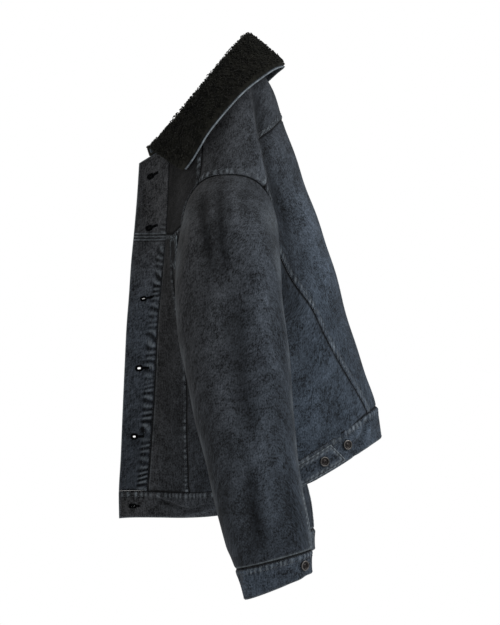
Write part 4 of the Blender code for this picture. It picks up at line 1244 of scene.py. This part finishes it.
# %% Small cloth pieces
FLAP = {"front_y": -0.1240, "back_y": -0.1130, "top_z": -0.286, "below": 0.006, "side": 0.062,
        "point": 0.030}
TAB = {"front_y": 0.0600, "top_y": 0.1190, "bottom_y": 0.1375, "top": 1.011, "bottom": 1.079}
TRIM_WALL = 0.0022
TRIM_ROW = 0.0032


def edge_worn(reach):
    """Pale rims and a sunk row of stitches round a piece."""
    near = np.minimum.reduce(list(reach.values()))
    wave = 0.6 + 0.4 * np.sin(reach["left"] * 690 + reach["top"] * 420)
    rub = np.exp(-(near / 0.0014) ** 2) * wave
    ridge = np.exp(-((near - TRIM_ROW * 1.5) / 0.0022) ** 2) * 0.35 * wave
    relief = -0.0010 * np.exp(-(near / 0.0010) ** 2) - 0.0004 * np.exp(-((near - TRIM_ROW) / ROW_WIDTH) ** 2)
    return relief, np.maximum(rub, ridge)


def trim(name, cut, side, lift, tint, shade):
    normal = outward(cut[..., 0], cut[..., 1], side)
    base = body(cut[..., 0], cut[..., 1], side) + normal * (lift + TRIM_WALL)
    reach = reaches(base)
    piece = cloth_piece(name, base, normal, {}, hang(base, 4.0) * 0.5, free=tuple(reach), wall=TRIM_WALL,
                        tint=tint, shade=shade, extra=edge_worn(reach), denim=BAND_DENIM)
    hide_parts(name)


start, top = on_side(FLAP["front_y"], FLAP["top_z"])
end = on_side(FLAP["back_y"], FLAP["top_z"])[0]
s = np.linspace(0, 1, 45)
depth = FLAP["side"] + FLAP["point"] * (1 - np.abs(2 * s - 1))
flap_falls = top + FLAP["below"] + np.linspace(0, 1, 41)[:, None] * depth
flap_cut = np.stack([np.broadcast_to(start + (end - start) * s, flap_falls.shape), flap_falls], -1)
front_edge, centre_back = ring("front_y", 1.0), ring("back_y", 1.0)
tab_rows = np.linspace(0, 1, 47)[:, None]
tab_ends = TAB["top_y"] + (TAB["bottom_y"] - TAB["top_y"]) * tab_rows
tab_y = TAB["front_y"] + (tab_ends - TAB["front_y"]) * np.linspace(0, 1, 91)
tab_turns = turn_of((tab_y - front_edge) / (centre_back - front_edge))
tab_falls = np.broadcast_to(TAB["top"] + (TAB["bottom"] - TAB["top"]) * tab_rows, tab_y.shape)
tab_cut = np.stack([tab_turns, tab_falls], -1)
for label, side in SIDES.items():
    # The flap's shade of 0.40 is the sleeve's shadow, painted on.
    trim(f"pocket_flap_{label}", flap_cut, side, 0.0036, 0.15, 0.40)
    trim(f"waist_tab_{label}", tab_cut, side, 0.0026, 0.9, 1.0)
print("tab length", round(float(CLOTH["waist_tab_left"]["reach"]["left"][0, -1]), 3))

# %% [markdown]
# ## Buttons
#
# Each button is a turned ring round a dished face, so a profile spun about its axis makes it. The frame's
# own buttons say where each one sits and which way it faces: its thinnest direction is the axis.

# %% Turned buttons
BUTTON_RADIUS = 0.0078
BUTTON_PROFILE = ((0.66, 0.0), (0.93, 0.3), (1.0, 1.2), (0.99, 2.1), (0.93, 2.9), (0.84, 3.3), (0.74, 3.1),
                  (0.66, 2.3), (0.60, 1.7), (0.46, 1.5), (0.34, 1.7), (0.26, 2.2), (0.14, 2.5), (0.0, 2.6))
BUTTON_SIDES = 36


def turned(node, side):
    """A lathe-turned button in the place of the frame's plain one."""
    corners = np.array([v.co[:] for v in frame["nodes"][node].data.vertices])
    middle = corners.mean(0)
    _, _, axes = np.linalg.svd(corners - middle, full_matrices=False)
    axis = axes[2] * np.sign(axes[2][0] * side or 1)
    seat = middle + axis * ((corners - middle) @ axis).min()
    across = unit(np.cross(axis, (0.0, 0.0, 1.0)))
    upright = np.cross(across, axis)
    angle = np.arange(BUTTON_SIDES) * 2 * math.pi / BUTTON_SIDES
    spoke = (across * np.cos(angle)[:, None] + upright * np.sin(angle)[:, None]) * BUTTON_RADIUS
    points = np.concatenate([seat + spoke * max(reach, 0.02) + axis * height * 0.001
                             for reach, height in BUTTON_PROFILE])
    index = np.arange(len(points)).reshape(-1, BUTTON_SIDES)
    a, b = index[:-1], index[1:]
    faces = np.stack([a, np.roll(a, -1, 1), np.roll(b, -1, 1), b], -1).reshape(-1, 4).tolist()
    faces += [index[0][::-1].tolist(), index[-1].tolist()]
    rim = [math.exp(-((reach - 0.88) / 0.10) ** 2) * (height > 1.5) for reach, height in BUTTON_PROFILE]
    piece = add_mesh(node, points, faces, (METAL,), {"wear": np.repeat(rim, BUTTON_SIDES)})
    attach(piece, "root")
    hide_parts(node)


BUTTONS = {f"front_button_{k}": -1 for k in range(1, 7)}
for kind in ("tab", "spare", "cuff"):
    BUTTONS.update({f"{kind}_button_{label}": side for label, side in SIDES.items()})
for node, side in BUTTONS.items():
    turned(node, side)
print("buttons:", len(BUTTONS))

# %% [markdown]
# ## Buttonholes
#
# A keyhole buttonhole is a small oval sewn round with dense thread, with a bar behind it. The left front has
# one facing each button. Each is cut through with a Boolean, which leaves a true hole that light passes
# through, and then edged with a raised oval of thread.

# %% Cut and edge the buttonholes
HOLES = (  # y, z, length, height
    (-0.1590, -0.1917, 0.0060, 0.0016),
    (-0.1615, -0.2723, 0.0048, 0.0020),
    (-0.1705, -0.3833, 0.0036, 0.0012),
    (-0.1775, -0.4927, 0.0056, 0.0034),
    (-0.1850, -0.6001, 0.0048, 0.0032),
)
BAND_HOLE = (-0.1871, -0.7092, 0.0060, 0.0006)
EDGING = 0.0014
EDGING_LIFT = 0.0002
TUBE_SIDES = 7


def local_axes(y, z):
    """Centre, backward, down and outward directions at a place of the left front."""
    turn, fall = on_side(y, z)
    centre = body(turn, fall)
    normal = outward(turn, fall)
    ahead = unit(body(turn + 0.01, fall) - centre)
    down = unit(np.cross(ahead, normal))
    return centre, ahead, down * np.sign(-down[2]), normal


def oval(half_length, half_height, count):
    angle = np.linspace(0, 2 * math.pi, count, endpoint=False)
    c, s = np.cos(angle), np.sin(angle)
    straight_part = half_length - half_height
    return np.stack([np.sign(c) * straight_part * (np.abs(c) > 0.01) + half_height * c, half_height * s], 1)


def tube(path, across, up, radius, flatness, closed=True):
    """A tube along a path, with a sewn ridge at every other point."""
    count = len(path)
    angle = (np.arange(TUBE_SIDES) * 2 * math.pi / TUBE_SIDES)[None, :, None]
    swell = (radius * (1 + 0.16 * np.cos(np.arange(count) * math.pi)))[:, None, None]
    spoke = across[:, None] * np.cos(angle) + up[:, None] * np.sin(angle) * flatness
    points = path[:, None] + spoke * swell
    index = np.arange(count * TUBE_SIDES).reshape(count, TUBE_SIDES)
    a = index if closed else index[:-1]
    b = np.roll(index, -1, 0) if closed else index[1:]
    faces = np.stack([a, np.roll(a, -1, 1), np.roll(b, -1, 1), b], -1).reshape(-1, 4)
    return points.reshape(-1, 3), faces


def joined(parts):
    points, faces, start = [], [], 0
    for p, f in parts:
        points.append(p)
        faces.append(f + start)
        start += len(p)
    return np.concatenate(points), np.concatenate(faces)


def laid_on(path, name, normal):
    """The same path, set just over the outer face of a piece."""
    outer = CLOTH[name]["outer"].reshape(-1, 3)
    apart = path[:, None] - outer[None]
    apart -= (apart @ normal)[..., None] * normal
    weight = 1 / ((apart ** 2).sum(-1) + 1e-7) ** 2
    height = (weight * (outer @ normal)).sum(1) / weight.sum(1)
    return path + normal * (height + EDGING_LIFT - path @ normal)[:, None]


def edged(name, centre, ahead, down, normal, length, height):
    """Raised thread round one buttonhole, two rows deep, and its bar."""
    parts = []
    for out in (0.6, 2.0):
        flat = oval(length / 2 + out * EDGING, height / 2 + out * EDGING * 0.9, 72)
        path = laid_on(centre + ahead * flat[:, :1] + down * flat[:, 1:], name, normal)
        tangent = unit(np.roll(path, -1, 0) - np.roll(path, 1, 0))
        up = np.broadcast_to(normal, path.shape)
        parts.append(tube(path, np.cross(tangent, up), up, EDGING * 0.72, 0.7))
    behind = np.linspace(length / 2 + 0.0040, length / 2 + 0.0130, 26)
    bar = laid_on(centre + ahead * behind[:, None], name, normal)
    up = np.broadcast_to(normal, bar.shape)
    return parts + [tube(bar, np.broadcast_to(down, bar.shape), up, EDGING * 1.5, 0.5, closed=False)]


def cutter(centre, ahead, down, normal, length, height):
    """A short oval rod through the cloth, with its faces turned outwards."""
    flat = oval(length / 2, height / 2, 28)
    rim = centre + ahead * flat[:, :1] + down * flat[:, 1:]
    points = np.concatenate([rim + normal * 0.010, rim - normal * 0.014])
    n = len(flat)
    faces = [tuple(range(n)), tuple(range(2 * n - 1, n - 1, -1))]
    faces += [(k, k + n, (k + 1) % n + n, (k + 1) % n) for k in range(n)]
    if np.cross(ahead, down) @ normal < 0:
        faces = [face[::-1] for face in faces]
    made = add_mesh("cutter", points, faces, (), {})
    made.data.shade_flat()
    return made


def cut_holes(piece, places):
    for place in places:
        tool = cutter(*place)
        step = piece.modifiers.new("buttonhole", "BOOLEAN")
        step.operation = "DIFFERENCE"
        step.solver = "EXACT"
        step.object = tool
        bpy.context.view_layer.objects.active = piece
        with bpy.context.temp_override(object=piece, active_object=piece, selected_objects=[piece]):
            bpy.ops.object.modifier_apply(modifier=step.name)
        bpy.data.objects.remove(tool)


front_holes = [(*local_axes(y, z), length, height) for y, z, length, height in HOLES]
band_hole = (*local_axes(*BAND_HOLE[:2]), *BAND_HOLE[2:])
cut_holes(CLOTH["placket_left"]["piece"], front_holes)
cut_holes(CLOTH["waistband"]["piece"], [band_hole])
parts = [part for place in front_holes for part in edged("placket_left", *place)]
parts += edged("waistband", *band_hole)
points, faces = joined(parts)
edging = add_mesh("buttonhole_thread", points, faces, (HOLE_THREAD,), {})
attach(edging, "root")
print("buttonholes:", len(front_holes) + 1, "faces:", len(faces))

# %% [markdown]
# ## Rows of stitches
#
# Every felled seam has two rows of thread, and every free edge has one. Each stitch is a sliver that dips
# into the cloth at both ends. They are thousands of tiny closed shapes, but joined in one mesh for each side
# they cost less than a modifier that would have to find each seam again.

# %% Stitches
STITCH_PITCH = 0.0034
STITCH_LENGTH = 0.0026
STITCH_RADIUS = 0.00042
STITCH_MARGIN = 0.002
SIDE_ROWS = (
    ("placket", ("right",), (0.0018, 0.0125)),
    ("placket", ("left",), (0.0035, 0.0095)),
    ("upper_front", ("right",), (0.0018, 0.0072)),
    ("centre_front", ("top",), (0.0018, 0.0066)),
    ("centre_front", ("right",), (0.0018, 0.0062)),
    ("side_front", ("top",), (0.0018, 0.0066)),
    ("side_front", ("right",), (0.0018, 0.0072)),
    ("top_sleeve", ("left",), (0.0018, 0.0095)),
    ("cuff", ("top",), (0.0018, 0.0086)),
    ("cuff", ("bottom",), (0.0024,)),
    ("cuff", ("left", "right"), (0.0026,)),
    ("waist_tab", ("top", "bottom", "left", "right"), (TRIM_ROW,)),
    ("pocket_flap", ("bottom", "left"), (0.0024, 0.0066)),
)
WHOLE_ROWS = (
    ("back", ("left", "right"), (0.0018, 0.0097)),
    ("back_yoke", ("bottom",), (0.0018, 0.0098)),
    ("waistband", ("top",), (0.0018, 0.0088)),
    ("waistband", ("bottom", "left", "right"), (0.0030,)),
)


def rail(name, edge, distance):
    """A line on a piece's outer face at a distance from one edge, with its normals."""
    held = CLOTH[name]
    grids = [held["reach"][edge], held["outer"], held["normal"]]
    if edge in ("top", "bottom"):
        grids = [np.swapaxes(grid, 0, 1) for grid in grids]
    if edge in ("right", "bottom"):
        grids = [grid[:, ::-1] for grid in grids]
    places, facing = [], []
    for reach, outer, normal in zip(*grids):
        if reach.max() >= distance * 1.05:
            places.append([np.interp(distance, reach, outer[:, k]) for k in range(3)])
            facing.append([np.interp(distance, reach, normal[:, k]) for k in range(3)])
    return np.array(places), unit(np.array(facing))


def stitches(places, facing):
    """Slivers along a rail: eight points and twelve triangles each, flat where they meet the cloth."""
    reach = lengths(places)
    at = np.arange(STITCH_MARGIN, reach[-1] - STITCH_MARGIN, STITCH_PITCH)

    def sample(values, where):
        return np.stack([np.interp(where, reach, values[:, k]) for k in range(3)], 1)

    first, last = sample(places, at - STITCH_LENGTH / 2), sample(places, at + STITCH_LENGTH / 2)
    up = unit(sample(facing, at))
    ahead = unit(last - first)
    side = np.cross(up, ahead)
    middle = (first + last) / 2 + up * STITCH_RADIUS * 0.45
    points = [first - up * STITCH_RADIUS * 0.6]
    for share in (-0.28, 0.28):
        for c, s in ((1, 0), (0, 1), (-1, 0)):
            points.append(middle + ahead * share * STITCH_LENGTH + (side * c + up * s * 0.8) * STITCH_RADIUS)
    points.append(last - up * STITCH_RADIUS * 0.6)
    points = np.stack(points, 1)
    faces = []
    for k in range(3):
        n = (k + 1) % 3
        faces += [(0, 1 + n, 1 + k), (1 + k, 1 + n, 4 + n), (1 + k, 4 + n, 4 + k), (7, 4 + k, 4 + n)]
    faces = np.array(faces)[None] + (np.arange(len(at)) * 8)[:, None, None]
    return points.reshape(-1, 3), faces.reshape(-1, 3)


def topstitch(label, table, suffix):
    """One mesh for the stitches of a table's pieces, edges and distances."""
    rows = [(piece + suffix, edge, distance)
            for piece, edges, distances in table for edge in edges for distance in distances]
    points, faces = joined([stitches(*rail(*row)) for row in rows])
    piece = add_mesh(f"topstitching_{label}", points, faces, (THREAD,), {})
    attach(piece, "root")
    print("topstitching", label, len(faces), "triangles")


topstitch("left", SIDE_ROWS, "_left")
topstitch("right", SIDE_ROWS, "_right")
topstitch("middle", WHOLE_ROWS, "")

# %% [markdown]
# ## Camera, light and floor
#
# The jacket is a dark thing on a bright ground. A white sky shows behind it, but lights it at less than half
# strength, so that the soft lamps still turn its edges. Light Path tells the two kinds of ray apart. The
# camera stands level and square to the jacket's left side.

# %% Studio
AIM_POINT = (0.0, 0.0, -0.40)
LAMPS = (  # name, place, size, watts
    ("key", (1.7, 2.4, 1.3), 1.4, 78),
    ("fill", (2.2, -1.8, 0.4), 2.0, 7),
    ("rim", (-1.6, -0.8, 1.4), 1.6, 20),
)
CAMERA_DISTANCE = 4.0
FLOOR_RADIUS = 1.35
FLOOR_HEIGHT = -1.1
FLOOR_SIDES = 64
FRAME_WIDTH = 0.79
SKY_LIGHT = 0.40


def lamp(name, place, size, power):
    data = bpy.data.lights.new(name, "AREA")
    data.size = size
    data.energy = power
    made = bpy.data.objects.new(name, data)
    made.location = place
    x, y, z = np.subtract(AIM_POINT, place)
    made.rotation_euler = (math.atan2(math.hypot(x, y), -z), 0, math.atan2(y, x) - math.pi / 2)
    bpy.context.scene.collection.objects.link(made)


for row in LAMPS:
    lamp(*row)
data = bpy.data.cameras.new("camera")
data.sensor_width = 36.0
data.sensor_fit = "HORIZONTAL"
data.lens = data.sensor_width * CAMERA_DISTANCE / FRAME_WIDTH
camera = bpy.data.objects.new("camera", data)
camera.location = (CAMERA_DISTANCE, -0.003, -0.405)
camera.rotation_euler = (math.pi / 2, 0, math.pi / 2)
bpy.context.scene.collection.objects.link(camera)
bpy.context.scene.camera = camera

world = bpy.data.worlds.new("studio")
bpy.context.scene.world = world
world.use_nodes = True
sky = Nodes(world.node_tree)
background = sky.tree.nodes["Background"]
camera_ray = sky.node("ShaderNodeLightPath")
strength = sky.node("ShaderNodeMapRange", None, {"Value": camera_ray, "To Min": SKY_LIGHT})
sky.plug(background.inputs["Color"], (1, 1, 1, 1))
sky.plug(background.inputs["Strength"], strength)
bpy.context.scene.view_settings.view_transform = "Standard"

floor_finish = Finish("pale_floor", Roughness=0.9, Base_Color=(0.8, 0.8, 0.8, 1),
                      Emission_Color=(1, 1, 1, 1), Emission_Strength=0.22)
angle = np.linspace(0, 2 * math.pi, FLOOR_SIDES, endpoint=False)
corners = np.stack([np.cos(angle) * FLOOR_RADIUS, np.sin(angle) * FLOOR_RADIUS, angle * 0 + FLOOR_HEIGHT], 1)
floor = add_mesh("floor", corners, [list(range(FLOOR_SIDES))], [floor_finish.material], {})
print("lens", round(data.lens, 1))
